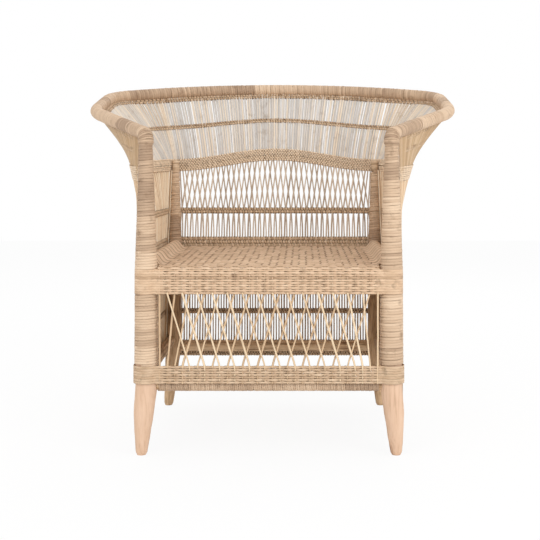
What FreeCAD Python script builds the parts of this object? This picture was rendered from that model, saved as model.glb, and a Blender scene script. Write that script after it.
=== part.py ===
"""Cane armchair: a pegged pole frame, a panel of upright canes and a flared, bound collar.

All lengths are millimetres.  X is the width, +Y runs to the back and Z is up.  The floor is at
Z = 0 and the origin lies under the middle of the chair's overall width and depth.
"""
import FreeCAD, Part
import math
import os

import Sketcher
from FreeCAD import Placement, Rotation, Vector

SIZES = [
    ("post_spacing", 540.0, "left post axis to right post axis"),
    ("seat_run", 480.0, "front post axis to rear post axis at the floor"),
    ("foot_height", 150.0, "carved foot, floor to shoulder"),
    ("foot_splay", 11.0, "outward shift of the foot's sole"),
    ("foot_edge", 2.5, "bevel of the sole's edge"),
    ("front_foot_radius", 12.2, "front sole"),
    ("front_belly_level", 92.0, "height where the front foot is still full"),
    ("front_belly_radius", 22.2, "front foot at that height"),
    ("front_shoulder_radius", 24.0, "front post at the foot's shoulder"),
    ("front_seat_radius", 22.6, "front post at the seat"),
    ("front_top_radius", 12.0, "front post at its top"),
    ("front_post_height", 694.0, "front post, floor to top"),
    ("rear_foot_radius", 11.5, "rear sole"),
    ("rear_shoulder_radius", 20.5, "rear post at the foot's shoulder"),
    ("rear_seat_radius", 17.0, "rear post at the seat"),
    ("rear_seat_level", 400.0, "height where the posts start to thin"),
    ("rear_top_radius", 6.5, "rear post at its tip"),
    ("rear_tip_rise", 13.0, "rear post tip over the middle of the wide band"),
    ("rear_lean", 79.0, "backward lean of the rear post over its height"),
    ("tenon_radius", 7.0, "round tenon on every rail end"),
    ("tenon_floor", 9.0, "mortise floor, measured from the post axis"),
    ("fit_gap", 0.15, "clearance of each tenon and nail"),
    ("rest_gap", 0.3, "clearance between pieces that lie on each other"),
    ("nail_radius", 1.6, "wire nail"),
    ("nail_bite", 24.0, "nail length inside the tenon"),
    ("front_rail_radius", 11.5, "front bottom rail, bare"),
    ("front_rail_height", 154.0, "front bottom rail axis"),
    ("front_rail_inset", 2.5, "front bottom rail behind the post axis"),
    ("rear_rail_radius", 14.5, "rear bottom rail"),
    ("rear_rail_height", 152.5, "rear bottom rail axis"),
    ("side_rail_radius", 13.0, "side bottom rails"),
    ("side_rail_height", 170.0, "side bottom rail axis"),
    ("front_seat_rail_radius", 15.0, "front seat rail"),
    ("front_seat_rail_height", 396.0, "front seat rail axis"),
    ("rear_seat_rail_radius", 15.0, "rear seat rail"),
    ("side_seat_rail_radius", 10.5, "side seat rails"),
    ("side_seat_rail_inset", 4.0, "side seat rails inside the post axes"),
    ("side_seat_rail_rise", 20.0, "tops of the side seat rails over the front one's top"),
    ("weave_thickness", 7.0, "woven seat"),
    ("weave_slope", 50.0, "weave climbing to the side rails, degrees"),
    ("apron_height", 40.0, "woven apron below the seat rail axis"),
    ("wrap_thickness", 2.5, "cane wound round the poles"),
    ("wrap_foot_gap", 2.0, "bare shoulder between foot and wrap"),
    ("wrap_top_drop", 4.0, "front wrap ends this far below the post top"),
    ("rim_pole_radius", 12.4, "bent rim pole"),
    ("rim_depth", 660.0, "front post axis to the rim at the back, in plan"),
    ("rim_half_width", 440.0, "rim axis at its widest"),
    ("rim_back_height", 846.0, "rim axis at the middle of the back"),
    ("rim_out_angle", 30.0, "rim direction at the front post, degrees from straight back"),
    ("rim_bend_radius", 200.0, "first bend of the rim"),
    ("rim_corner_radius", 95.0, "rear corner of the rim"),
    ("rim_back_radius", 770.0, "bow of the rim behind the back"),
    ("rim_corner_start", 0.60, "share of the half rim ahead of the rear post"),
    ("rim_corner_end", 0.69, "share of the half rim at the start of the back"),
    ("binding_radius", 19.0, "bound knob over post top and rim end"),
    ("cane_radius", 1.7, "upright canes"),
    ("cane_pitch", 7.1, "upright canes, axis to axis"),
    ("collar_cane_radius", 1.6, "collar canes"),
    ("collar_pitch", 6.7, "collar canes, axis to axis at the collar's middle band"),
    ("lattice_cane_radius", 2.2, "crossed canes of the front"),
    ("lattice_pitch", 15.6, "crossed canes of the front, axis to axis"),
    ("lattice_step", 3.0, "pitches a front cane moves sideways from apron to band"),
    ("back_step", 3.0, "pitches a back cane moves sideways in the crossed zone"),
    ("strip_thickness", 1.6, "each of the two strips of a band"),
    ("panel_foot", 125.0, "lower end of the upright canes"),
    ("bottom_band_height", 40.0, "band behind the bottom rails"),
    ("low_band_level", 242.0, "thin band between bottom rail and seat, middle"),
    ("low_band_height", 12.0, "that band's height"),
    ("seat_band_low", 396.0, "lower edge of the band round the seat"),
    ("seat_band_height", 44.0, "that band's height"),
    ("thin_band_level", 512.0, "thin band under the crossed canes, middle"),
    ("thin_band_height", 14.0, "that band's height"),
    ("wide_band_drop", 58.0, "front post top down to the middle of the wide band"),
    ("wide_band_height", 32.0, "that band's height"),
    ("wide_band_droop", 18.0, "fall of the wide band from the rear post to the front post"),
    ("wide_band_crown", 29.0, "rise of the wide band to the middle of the back"),
    ("thin_band_bulge", 7.0, "side panel bulge at the thin band"),
    ("wide_band_bulge", 47.0, "side panel bulge at the wide band"),
    ("thin_band_bow", 4.0, "back panel bow at the thin band"),
    ("wide_band_bow", 14.0, "back panel bow at the wide band"),
    ("collar_flare", 1.25, "power of the trumpet curve of the collar"),
    ("mid_band_share", 0.52, "middle band's place between wide band and rim"),
    ("mid_band_height", 11.0, "middle band's height"),
    ("rim_band_height", 10.0, "band under the rim"),
    ("front_band_low", 160.0, "lower edge of the front's lower band"),
    ("front_band_height", 39.0, "that band's height"),
]

os.makedirs("parts", exist_ok=True)
doc = FreeCAD.newDocument("cane_armchair")
sheet = doc.addObject("Spreadsheet::Sheet", "Sizes")
for row, (alias, value, note) in enumerate(SIZES, 1):
    sheet.set("A%d" % row, note)
    sheet.set("B%d" % row, str(value))
    sheet.setAlias("B%d" % row, alias)
doc.recompute()
derived = doc.addObject("App::VarSet", "Derived")
pieces = []


def size(alias):
    """Value of one driving size."""
    return float(getattr(sheet, alias))


def derive(name, formula):
    """Add a value that follows from the driving sizes."""
    derived.addProperty("App::PropertyFloat", name, "Derived")
    derived.setExpression(name, formula)
    return "Derived." + name


def front_radius(level):
    """Front post radius between the foot and the seat."""
    return ("(Sizes.front_shoulder_radius + (Sizes.front_seat_radius - Sizes.front_shoulder_radius)"
            " * (%s - Sizes.foot_height) / (Sizes.rear_seat_level - Sizes.foot_height))" % level)


def front_upper_radius(level):
    """Front post radius above the seat."""
    return ("(Sizes.front_seat_radius + (Sizes.front_top_radius - Sizes.front_seat_radius)"
            " * (%s - Sizes.rear_seat_level) / (Sizes.front_post_height - Sizes.rear_seat_level))"
            % level)


def rear_radius(level):
    """Rear post radius between the foot and the seat."""
    return ("(Sizes.rear_shoulder_radius + (Sizes.rear_seat_radius - Sizes.rear_shoulder_radius)"
            " * (%s - Sizes.foot_height) / (Sizes.rear_seat_level - Sizes.foot_height))" % level)


def rear_upper_radius(level):
    """Rear post radius above the seat."""
    return ("(Sizes.rear_seat_radius + (Sizes.rear_top_radius - Sizes.rear_seat_radius)"
            " * (%s - Sizes.rear_seat_level) / (Derived.rear_post_height - Sizes.rear_seat_level))"
            % level)


def rear_shift(level):
    """Backward shift of the rear post axis at a height."""
    return "(Sizes.rear_lean * %s / Derived.rear_post_height)" % level


PANEL_START = 4.6
derive("half_spacing", "Sizes.post_spacing / 2")
derive("wide_band_level", "Sizes.front_post_height - Sizes.wide_band_drop")
derive("rear_post_height", "Derived.wide_band_level + Sizes.rear_tip_rise")
derive("panel_half", "2 * Sizes.cane_radius + Sizes.fit_gap / 2")
derive("band_half", "Derived.panel_half + Sizes.fit_gap + Sizes.strip_thickness")
derive("front_y", "(Sizes.front_shoulder_radius - Sizes.rim_depth - Sizes.rim_pole_radius) / 2")
derive("rear_y", "Derived.front_y + Sizes.seat_run")
derive("deck_under", "Sizes.front_seat_rail_height + Sizes.front_seat_rail_radius + Sizes.rest_gap")
derive("deck_top", "Derived.deck_under + Sizes.weave_thickness")
derive("side_seat_rail_height", "Derived.deck_under - Sizes.rest_gap - Sizes.side_seat_rail_radius"
       " + Sizes.side_seat_rail_rise")
derive("rear_seat_rail_height", "Derived.deck_under - Sizes.rest_gap - Sizes.rear_seat_rail_radius")
derive("rim_front_height",
       "Sizes.front_post_height + Sizes.rim_pole_radius + Sizes.fit_gap")
derive("wrapped_front_rail", "Sizes.front_rail_radius + Sizes.fit_gap + Sizes.wrap_thickness")
derive("front_r_low", front_radius("Sizes.front_rail_height"))
derive("front_r_side", front_radius("Sizes.side_rail_height"))
derive("front_r_seat", front_radius("(Sizes.front_seat_rail_height - Sizes.front_seat_rail_radius)"))
derive("front_r_side_seat", front_upper_radius("(Derived.side_seat_rail_height"
                                               " - Sizes.side_seat_rail_radius)"))
derive("rear_r_low", rear_radius("Sizes.rear_rail_height"))
derive("rear_r_side", rear_radius("Sizes.side_rail_height"))
derive("rear_r_seat", rear_radius("(Derived.rear_seat_rail_height - Sizes.rear_seat_rail_radius)"))
derive("rear_r_side_seat", rear_upper_radius("Derived.side_seat_rail_height"))
derive("rear_shift_low", rear_shift("Sizes.rear_rail_height"))
derive("rear_shift_side", rear_shift("Sizes.side_rail_height"))
derive("rear_shift_seat", rear_shift("Derived.rear_seat_rail_height"))
derive("rear_shift_side_seat", rear_shift("Derived.side_seat_rail_height"))
derive("rear_rail_out", "Derived.rear_r_low + Sizes.wrap_thickness - Sizes.rear_rail_radius")
derive("side_rail_out", "0.8 * (Derived.front_r_side + Sizes.wrap_thickness + Sizes.fit_gap + %s)"
       " - Derived.band_half - Sizes.rest_gap - Sizes.side_rail_radius" % PANEL_START)
doc.recompute()


def keep(item, label):
    """Name a finished piece and put it on the export list."""
    item.Label = label
    pieces.append(item)
    return item


def bind(item, formulas):
    """Tie several properties of an object to formulas."""
    for name, formula in formulas.items():
        item.setExpression(name, formula)
    return item


def place(item, x, y, z):
    """Tie an object's position to formulas."""
    return bind(item, {"Placement.Base.x": x, "Placement.Base.y": y, "Placement.Base.z": z})


def origin_plane(body, role):
    """One of a body's own origin planes."""
    return [item for item in body.Origin.OriginFeatures if item.Role == role][0]


def circle_sketch(body, name, role, x, y, radius, offset):
    """Sketch with one circle on an origin plane moved along its normal."""
    sketch = body.newObject("Sketcher::SketchObject", name)
    sketch.AttachmentSupport = [(origin_plane(body, role), "")]
    sketch.MapMode = "FlatFace"
    ring = sketch.addGeometry(Part.Circle(Vector(1, 1, 0), Vector(0, 0, 1), 1.0), False)
    rules = [(Sketcher.Constraint("Radius", ring, 1.0), radius),
             (Sketcher.Constraint("DistanceX", -1, 1, ring, 3, 1.0), x),
             (Sketcher.Constraint("DistanceY", -1, 1, ring, 3, 1.0), y)]
    for rule, formula in rules:
        number = sketch.addConstraint(rule)
        sketch.setExpression("Constraints[%d]" % number, formula)
    sketch.setExpression("AttachmentOffset.Base.z", offset)
    return sketch


def pocket(body, name, sketch, depth, reverse):
    """Cut a sketch into a body and make sure that it removed something."""
    doc.recompute()
    before = body.Shape.Volume
    cut = body.newObject("PartDesign::Pocket", name)
    cut.Profile = sketch
    cut.Reversed = reverse
    cut.setExpression("Length", depth)
    doc.recompute()
    if body.Shape.Volume > before - 1.0:
        raise RuntimeError("nothing cut by " + body.Label + " " + name)
    return cut


def post(label, x, y, sections, joints):
    """Tapering post with a carved foot; each joint gets a mortise and a nail hole."""
    body = doc.addObject("PartDesign::Body", label)
    place(body, x, y, "0")
    rings = [circle_sketch(body, "Ring%d" % i, "XY_Plane", cx, cy, radius, level)
             for i, (cx, cy, radius, level) in enumerate(sections)]
    loft = body.newObject("PartDesign::AdditiveLoft", "Shaft")
    loft.Profile = rings[0]
    loft.Sections = rings[1:]
    loft.Ruled = True
    for name, role, across, level, direction in joints:
        offset = "%s * Sizes.tenon_floor" % direction
        mortise = circle_sketch(body, name + "Mortise", role, across, level,
                                "Sizes.tenon_radius + Sizes.fit_gap", offset)
        pocket(body, name + "Hole", mortise, "Sizes.front_shoulder_radius * 2", direction == "1")
        nail = circle_sketch(body, name + "NailSketch", role, across, level,
                             "Sizes.nail_radius + Sizes.fit_gap", offset)
        pocket(body, name + "NailHole", nail, "Sizes.front_shoulder_radius * 2", direction != "1")
    return keep(body, label)


def rail(label, role, x, y, z, radius, length, tenon_span):
    """Round rail with a tenon and a nail hole at each end, made along one axis."""
    body = doc.addObject("PartDesign::Body", label)
    place(body, x, y, z)
    for name, ring, span in (("Pole", radius, length),
                             ("Tenon", "Sizes.tenon_radius", tenon_span)):
        sketch = circle_sketch(body, name + "Sketch", role, "0", "0", ring, "0")
        pad = body.newObject("PartDesign::Pad", name)
        pad.Profile = sketch
        pad.Midplane = True
        pad.setExpression("Length", span)
    for name, sign, reverse in (("NailA", "1", False), ("NailB", "-1", True)):
        sketch = circle_sketch(body, name + "Sketch", role, "0", "0",
                               "Sizes.nail_radius + Sizes.fit_gap",
                               "%s * (%s) / 2" % (sign, tenon_span))
        pocket(body, name + "Hole", sketch, "Sizes.nail_bite + Sizes.fit_gap", reverse)
    return keep(body, label)


def mirrored(source, label):
    """The same piece for the left side."""
    item = doc.addObject("Part::Mirroring", label)
    item.Source = source
    item.Base = (0, 0, 0)
    item.Normal = (1, 0, 0)
    return keep(item, label)


# Posts. Each joint: name, sketch plane, sideways place, height, side of the axis.
front_right_post = post(
    "front_right_post", "Derived.half_spacing", "Derived.front_y",
    [("Sizes.foot_splay", "0", "Sizes.front_foot_radius - Sizes.foot_edge", "0"),
     ("Sizes.foot_splay", "0", "Sizes.front_foot_radius", "Sizes.foot_edge"),
     ("0.55 * Sizes.foot_splay", "0", "Sizes.front_belly_radius", "Sizes.front_belly_level"),
     ("0", "0", "Sizes.front_shoulder_radius", "Sizes.foot_height"),
     ("0", "0", "Sizes.front_seat_radius", "Sizes.rear_seat_level"),
     ("0", "0", "Sizes.front_top_radius", "Sizes.front_post_height")],
    [("FrontRail", "YZ_Plane", "Sizes.front_rail_inset", "Sizes.front_rail_height", "-1"),
     ("SideRail", "XZ_Plane", "Derived.side_rail_out", "Sizes.side_rail_height", "-1"),
     ("FrontSeat", "YZ_Plane", "0", "Sizes.front_seat_rail_height", "-1"),
     ("SideSeat", "XZ_Plane", "-Sizes.side_seat_rail_inset", "Derived.side_seat_rail_height",
      "-1")])
rear_right_post = post(
    "rear_right_post", "Derived.half_spacing", "Derived.rear_y",
    [("Sizes.foot_splay", "0", "Sizes.rear_foot_radius - Sizes.foot_edge", "0"),
     ("Sizes.foot_splay", "0", "Sizes.rear_foot_radius", "Sizes.foot_edge"),
     ("0", rear_shift("Sizes.foot_height"), "Sizes.rear_shoulder_radius", "Sizes.foot_height"),
     ("0", rear_shift("Sizes.rear_seat_level"), "Sizes.rear_seat_radius",
      "Sizes.rear_seat_level"),
     ("0", "Sizes.rear_lean", "Sizes.rear_top_radius", "Derived.rear_post_height")],
    [("RearRail", "YZ_Plane", "Derived.rear_shift_low + Derived.rear_rail_out",
      "Sizes.rear_rail_height", "-1"),
     ("RearSeat", "YZ_Plane", "Derived.rear_shift_seat", "Derived.rear_seat_rail_height", "-1")])
for joint, across, level, shift in (
        ("SideRail", "Derived.side_rail_out", "Sizes.side_rail_height",
         "Derived.rear_shift_side"),
        ("SideSeat", "-Sizes.side_seat_rail_inset", "Derived.side_seat_rail_height",
         "Derived.rear_shift_side_seat")):
    floor_at = "Sizes.tenon_floor - " + shift
    mortise = circle_sketch(rear_right_post, joint + "Mortise", "XZ_Plane", across, level,
                            "Sizes.tenon_radius + Sizes.fit_gap", floor_at)
    pocket(rear_right_post, joint + "Hole", mortise, "Sizes.front_shoulder_radius * 2", True)
    nail_ring = circle_sketch(rear_right_post, joint + "NailSketch", "XZ_Plane", across, level,
                              "Sizes.nail_radius + Sizes.fit_gap", floor_at)
    pocket(rear_right_post, joint + "NailHole", nail_ring, "Sizes.front_shoulder_radius * 2", False)

# Rails across the chair.
CROSS_TENONS = "(Sizes.post_spacing - 2 * Sizes.tenon_floor - 2 * Sizes.fit_gap)"
front_bottom_rail = rail(
    "front_bottom_rail", "YZ_Plane", "0", "Derived.front_y + Sizes.front_rail_inset",
    "Sizes.front_rail_height", "Sizes.front_rail_radius",
    "Sizes.post_spacing - 2 * Derived.front_r_low - 2 * Sizes.fit_gap", CROSS_TENONS)
rear_bottom_rail = rail(
    "rear_bottom_rail", "YZ_Plane", "0",
    "Derived.rear_y + Derived.rear_shift_low + Derived.rear_rail_out", "Sizes.rear_rail_height",
    "Sizes.rear_rail_radius", "Sizes.post_spacing - 2 * Derived.rear_r_low - 2 * Sizes.fit_gap",
    CROSS_TENONS)
front_seat_rail = rail(
    "front_seat_rail", "YZ_Plane", "0", "Derived.front_y", "Sizes.front_seat_rail_height",
    "Sizes.front_seat_rail_radius", "Sizes.post_spacing - 2 * Derived.front_r_seat"
    " - 2 * Sizes.fit_gap", CROSS_TENONS)
rear_seat_rail = rail(
    "rear_seat_rail", "YZ_Plane", "0", "Derived.rear_y + Derived.rear_shift_seat",
    "Derived.rear_seat_rail_height", "Sizes.rear_seat_rail_radius",
    "Sizes.post_spacing - 2 * Derived.rear_r_seat - 2 * Sizes.fit_gap", CROSS_TENONS)

# Rails from front to back; the tenons set their middle.
SIDE_TENONS = "(Sizes.seat_run + %s - 2 * Sizes.tenon_floor - 2 * Sizes.fit_gap)"
SIDE_MIDDLE = "Derived.front_y + (Sizes.seat_run + %s) / 2"
SIDE_LENGTH = "Sizes.seat_run + %s - 2 * max(%s; %s) - 2 * Sizes.fit_gap"
right_bottom_rail = rail(
    "right_bottom_rail", "XZ_Plane", "Derived.half_spacing + Derived.side_rail_out",
    SIDE_MIDDLE % "Derived.rear_shift_side", "Sizes.side_rail_height", "Sizes.side_rail_radius",
    SIDE_LENGTH % ("Derived.rear_shift_side", "Derived.front_r_side", "Derived.rear_r_side"),
    SIDE_TENONS % "Derived.rear_shift_side")
right_seat_rail = rail(
    "right_seat_rail", "XZ_Plane", "Derived.half_spacing - Sizes.side_seat_rail_inset",
    SIDE_MIDDLE % "Derived.rear_shift_side_seat", "Derived.side_seat_rail_height",
    "Sizes.side_seat_rail_radius",
    SIDE_LENGTH % ("Derived.rear_shift_side_seat", "Derived.front_r_side_seat",
                   "Derived.rear_r_side_seat"),
    SIDE_TENONS % "Derived.rear_shift_side_seat")

# Rim: lines and arcs in one plane that climbs to the back.
half_spacing = derived.half_spacing
front_y = derived.front_y
rear_y = derived.rear_y
rim_rise = size("rim_back_height") - derived.rim_front_height
rim_slope = math.atan2(rim_rise, size("rim_depth"))
rim_run = size("rim_depth") / math.cos(rim_slope)


def rim_space(x, run):
    """Point of the rim plane, from its width and its run along the slope."""
    return Vector(x, front_y + run * math.cos(rim_slope),
                  derived.rim_front_height + run * math.sin(rim_slope))


def rim_segments():
    """Right half of the rim: start, end, centre, turn and length of each stretch in its plane."""
    angle = math.radians(size("rim_out_angle"))
    bend = size("rim_bend_radius")
    corner = size("rim_corner_radius")
    bow = size("rim_back_radius")
    width = size("rim_half_width")
    reach = (width - half_spacing - bend * (1 - math.cos(angle))) / math.sin(angle)
    bend_start = (half_spacing + reach * math.sin(angle), reach * math.cos(angle))
    bend_end = (width, bend_start[1] + bend * math.sin(angle))
    bow_centre = (0.0, rim_run - bow)
    corner_run = bow_centre[1] + math.sqrt((bow - corner) ** 2 - (width - corner) ** 2)
    corner_centre = (width - corner, corner_run)
    turn = math.atan2(corner_run - bow_centre[1], width - corner)
    corner_end = (bow * math.cos(turn), bow_centre[1] + bow * math.sin(turn))
    bend_centre = (width - bend, bend_end[1])
    return [
        ("line", (half_spacing, 0.0), bend_start, None, reach, 0.0, 0.0),
        ("arc", bend_start, bend_end, bend_centre, bend * angle, -angle, 0.0),
        ("line", bend_end, (width, corner_run), None, corner_run - bend_end[1], 0.0, 0.0),
        ("arc", (width, corner_run), corner_end, corner_centre, corner * turn, 0.0, turn),
        ("arc", corner_end, (0.0, rim_run), bow_centre, bow * (math.pi / 2 - turn), turn,
         math.pi / 2),
    ]


RIM_HALF = rim_segments()
rim_half_length = sum(stretch[4] for stretch in RIM_HALF)


def rim_flat(distance):
    """Point in the rim plane at a distance along its right half."""
    left = distance
    for kind, start, end, centre, length, angle_a, angle_b in RIM_HALF:
        if left <= length or kind == "arc" and end[0] == 0.0:
            share = left / length
            if kind == "line":
                return tuple(a + (b - a) * share for a, b in zip(start, end))
            angle = angle_a + (angle_b - angle_a) * share
            radius = math.hypot(start[0] - centre[0], start[1] - centre[1])
            return (centre[0] + radius * math.cos(angle), centre[1] + radius * math.sin(angle))
        left -= length
    return RIM_HALF[-1][2]


def rim_wire(trim):
    """Axis of the rim from side to side, shortened at both ends."""
    edges = []
    begin = 0.0
    for kind, start, end, centre, length, angle_a, angle_b in RIM_HALF:
        first = max(begin, trim)
        last = begin + length
        begin = last
        if first >= last:
            continue
        points = [rim_space(*rim_flat(first + (last - first) * share)) for share in (0, 0.5, 1)]
        for side in (1, -1):
            a, b, c = [Vector(side * p.x, p.y, p.z) for p in points]
            edge = Part.makeLine(a, c) if kind == "line" else Part.Arc(a, b, c).toShape()
            edges.append(edge)
    return Part.Wire(Part.__sortEdges__(edges))


def rim_tube(name, trim, radius):
    """Solid tube along the rim; its radius follows a formula."""
    path = doc.addObject("Part::Feature", name + "_axis")
    path.Shape = rim_wire(trim)
    ring = doc.addObject("Part::Circle", name + "_ring")
    start = path.Shape.OrderedVertexes[0].Point
    heading = path.Shape.OrderedEdges[0].tangentAt(path.Shape.OrderedEdges[0].FirstParameter)
    if path.Shape.OrderedEdges[0].valueAt(
            path.Shape.OrderedEdges[0].FirstParameter).distanceToPoint(start) > 0.01:
        heading = path.Shape.OrderedEdges[0].tangentAt(path.Shape.OrderedEdges[0].LastParameter)
    ring.Placement = Placement(start, Rotation(Vector(0, 0, 1), heading))
    ring.setExpression("Radius", radius)
    sweep = doc.addObject("Part::Sweep", name)
    sweep.Sections = [ring]
    sweep.Spine = (path, ["Edge%d" % (i + 1) for i in range(len(path.Shape.Edges))])
    sweep.Solid = True
    sweep.Frenet = False
    return sweep


def cut(name, base, tool):
    """Boolean difference of two objects."""
    item = doc.addObject("Part::Cut", name)
    item.Base = base
    item.Tool = tool
    return item


def cylinder(name, radius, length, direction, x, y, z):
    """Cylinder with bound sizes, starting at a point and running along a direction."""
    item = doc.addObject("Part::Cylinder", name)
    item.Placement = Placement(Vector(), Rotation(Vector(0, 0, 1), direction))
    bind(item, {"Radius": radius, "Height": length})
    return place(item, x, y, z)


RIGHT = Vector(1, 0, 0)
BACK = Vector(0, 1, 0)
UP = Vector(0, 0, 1)
rim_solid = rim_tube("rim_solid", 0.0, "Sizes.rim_pole_radius")
rim_nail_holes = doc.addObject("Part::Compound", "rim_nail_holes")
rim_nail_holes.Links = [
    cylinder("rim_hole_%s" % side, "Sizes.nail_radius + Sizes.fit_gap",
             "4 * Sizes.rim_pole_radius", UP, sign + " * (Derived.half_spacing + 4)",
             "Derived.front_y + 5", "Derived.rim_front_height - 2 * Sizes.rim_pole_radius")
    for side, sign in (("right", "1"), ("left", "-1"))]
rim_pole = keep(cut("rim_pole", rim_solid, rim_nail_holes), "rim_pole")
rim_post_hole = circle_sketch(front_right_post, "RimNailSketch", "XY_Plane", "4", "5",
                              "Sizes.nail_radius + Sizes.fit_gap", "Sizes.front_post_height")
pocket(front_right_post, "RimNailHole", rim_post_hole, "Sizes.nail_bite + Sizes.fit_gap", False)

for source, label in ((front_right_post, "front_left_post"), (rear_right_post, "rear_left_post"),
                      (right_bottom_rail, "left_bottom_rail"), (right_seat_rail, "left_seat_rail")):
    mirrored(source, label)

# Nails along the rails, from the post's outer side into the tenon, and one down through the rim.
nails = []
NAIL_END = "Derived.half_spacing - Sizes.tenon_floor - Sizes.fit_gap - Sizes.nail_bite"
for name, y, z, skin in (
        ("front_low", "Derived.front_y + Sizes.front_rail_inset", "Sizes.front_rail_height",
         "Derived.front_r_low"),
        ("rear_low", "Derived.rear_y + Derived.rear_shift_low + Derived.rear_rail_out",
         "Sizes.rear_rail_height", "Derived.rear_r_low"),
        ("front_seat", "Derived.front_y", "Sizes.front_seat_rail_height", "Derived.front_r_seat"),
        ("rear_seat", "Derived.rear_y + Derived.rear_shift_seat", "Derived.rear_seat_rail_height",
         "Derived.rear_r_seat")):
    length = "Sizes.tenon_floor + Sizes.fit_gap + Sizes.nail_bite + 0.9 * %s" % skin
    nails.append(cylinder("nail_right_" + name, "Sizes.nail_radius", length, RIGHT, NAIL_END, y, z))
    nails.append(cylinder("nail_left_" + name, "Sizes.nail_radius", length, -RIGHT,
                          "-1 * (%s)" % NAIL_END, y, z))
for name, x, z, shift, front_skin, rear_skin in (
        ("low", "(Derived.half_spacing + Derived.side_rail_out)", "Sizes.side_rail_height",
         "Derived.rear_shift_side", "Derived.front_r_side", "Derived.rear_r_side"),
        ("seat", "(Derived.half_spacing - Sizes.side_seat_rail_inset)",
         "Derived.side_seat_rail_height", "Derived.rear_shift_side_seat",
         "Derived.front_r_side_seat", "Derived.rear_r_side_seat")):
    inner = "Sizes.tenon_floor + Sizes.fit_gap + Sizes.nail_bite"
    for side in ("1", "-1"):
        nails.append(cylinder("nail_front_" + name, "Sizes.nail_radius",
                              inner + " + 0.85 * " + front_skin, -BACK, side + " * " + x,
                              "Derived.front_y + " + inner, z))
        nails.append(cylinder("nail_back_" + name, "Sizes.nail_radius",
                              inner + " + 0.85 * " + rear_skin, BACK, side + " * " + x,
                              "Derived.rear_y + %s - (%s)" % (shift, inner), z))
for side in ("1", "-1"):
    nails.append(cylinder("nail_rim", "Sizes.nail_radius",
                          "Sizes.nail_bite + 1.8 * Sizes.rim_pole_radius", UP,
                          side + " * (Derived.half_spacing + 4)", "Derived.front_y + 5",
                          "Sizes.front_post_height - Sizes.nail_bite"))
frame_nails = doc.addObject("Part::Compound", "frame_nails")
frame_nails.Links = nails
keep(frame_nails, "frame_nails")

# Cane wound round the poles, as sleeves with openings for the rails.
WRAP_LOW = "(Sizes.foot_height + Sizes.wrap_foot_gap)"
WRAP_TOP = "(Sizes.front_post_height - Sizes.wrap_top_drop)"


def sleeve_solid(name, rings):
    """Ruled solid through circles; each ring gives a radius and a place."""
    circles = []
    for number, (radius, x, y, z) in enumerate(rings):
        ring = doc.addObject("Part::Circle", "%s_ring%d" % (name, number))
        ring.setExpression("Radius", radius)
        circles.append(place(ring, x, y, z))
    solid = doc.addObject("Part::Loft", name)
    solid.Sections = circles
    solid.Solid = True
    solid.Ruled = True
    return solid


SLEEVE_SIDES = (("outer", " + Sizes.fit_gap + Sizes.wrap_thickness"), ("inner", " + Sizes.fit_gap"))
cones = [
    sleeve_solid("front_wrap_" + name, [
        (radius + extra, "Derived.half_spacing", "Derived.front_y", level)
        for radius, level in ((front_radius(WRAP_LOW), WRAP_LOW),
                              ("Sizes.front_seat_radius", "Sizes.rear_seat_level"),
                              (front_upper_radius(WRAP_TOP), WRAP_TOP))])
    for name, extra in SLEEVE_SIDES]
wrap_openings = doc.addObject("Part::Compound", "front_wrap_openings")
wrap_openings.Links = [
    cylinder("wrap_open_front", "Derived.wrapped_front_rail + Sizes.rest_gap",
             "Derived.half_spacing", RIGHT, "0", "Derived.front_y + Sizes.front_rail_inset",
             "Sizes.front_rail_height"),
    cylinder("wrap_open_seat", "Sizes.front_seat_rail_radius + Sizes.rest_gap",
             "Derived.half_spacing", RIGHT, "0", "Derived.front_y", "Sizes.front_seat_rail_height"),
    cylinder("wrap_open_side", "Sizes.side_rail_radius + Sizes.rest_gap", "Sizes.seat_run / 2",
             BACK, "Derived.half_spacing + Derived.side_rail_out", "Derived.front_y",
             "Sizes.side_rail_height"),
    cylinder("wrap_open_side_seat", "Sizes.side_seat_rail_radius + Sizes.rest_gap",
             "Sizes.seat_run / 2", BACK, "Derived.half_spacing - Sizes.side_seat_rail_inset",
             "Derived.front_y", "Derived.side_seat_rail_height")]
front_right_wrap = cut("front_right_wrap", cut("front_wrap_shell", cones[0], cones[1]),
                       wrap_openings)
keep(front_right_wrap, "front_right_wrap")
mirrored(front_right_wrap, "front_left_wrap")

REAR_WRAP_LOW = "(Derived.deck_top + Sizes.rest_gap)"
REAR_WRAP_TOP = "(Derived.rear_post_height - Sizes.rest_gap)"
shells = [
    sleeve_solid("rear_wrap_" + name, [
        (rear_upper_radius(level) + extra, "Derived.half_spacing",
         "Derived.rear_y + " + rear_shift(level), level)
        for level in (REAR_WRAP_LOW, REAR_WRAP_TOP)])
    for name, extra in SLEEVE_SIDES]
rear_wrap_opening = cylinder(
    "rear_wrap_opening", "Sizes.tenon_radius + Sizes.rest_gap", "Sizes.seat_run / 4", -BACK,
    "Derived.half_spacing - Sizes.side_seat_rail_inset",
    "Derived.rear_y + Derived.rear_shift_side_seat", "Derived.side_seat_rail_height")
rear_right_wrap = cut("rear_right_wrap", cut("rear_wrap_shell", shells[0], shells[1]),
                      rear_wrap_opening)
keep(rear_right_wrap, "rear_right_wrap")
mirrored(rear_right_wrap, "rear_left_wrap")

rail_wrap = cut(
    "rail_wrap",
    cylinder("rail_wrap_outer", "Derived.wrapped_front_rail",
             "Sizes.post_spacing - 2 * Derived.front_r_low - 2 * Sizes.wrap_thickness - 2",
             RIGHT, "Derived.front_r_low + Sizes.wrap_thickness + 1 - Derived.half_spacing",
             "Derived.front_y + Sizes.front_rail_inset", "Sizes.front_rail_height"),
    cylinder("rail_wrap_inner", "Sizes.front_rail_radius + Sizes.fit_gap", "Sizes.post_spacing",
             RIGHT, "-Derived.half_spacing", "Derived.front_y + Sizes.front_rail_inset",
             "Sizes.front_rail_height"))
keep(rail_wrap, "front_rail_wrap")

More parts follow.
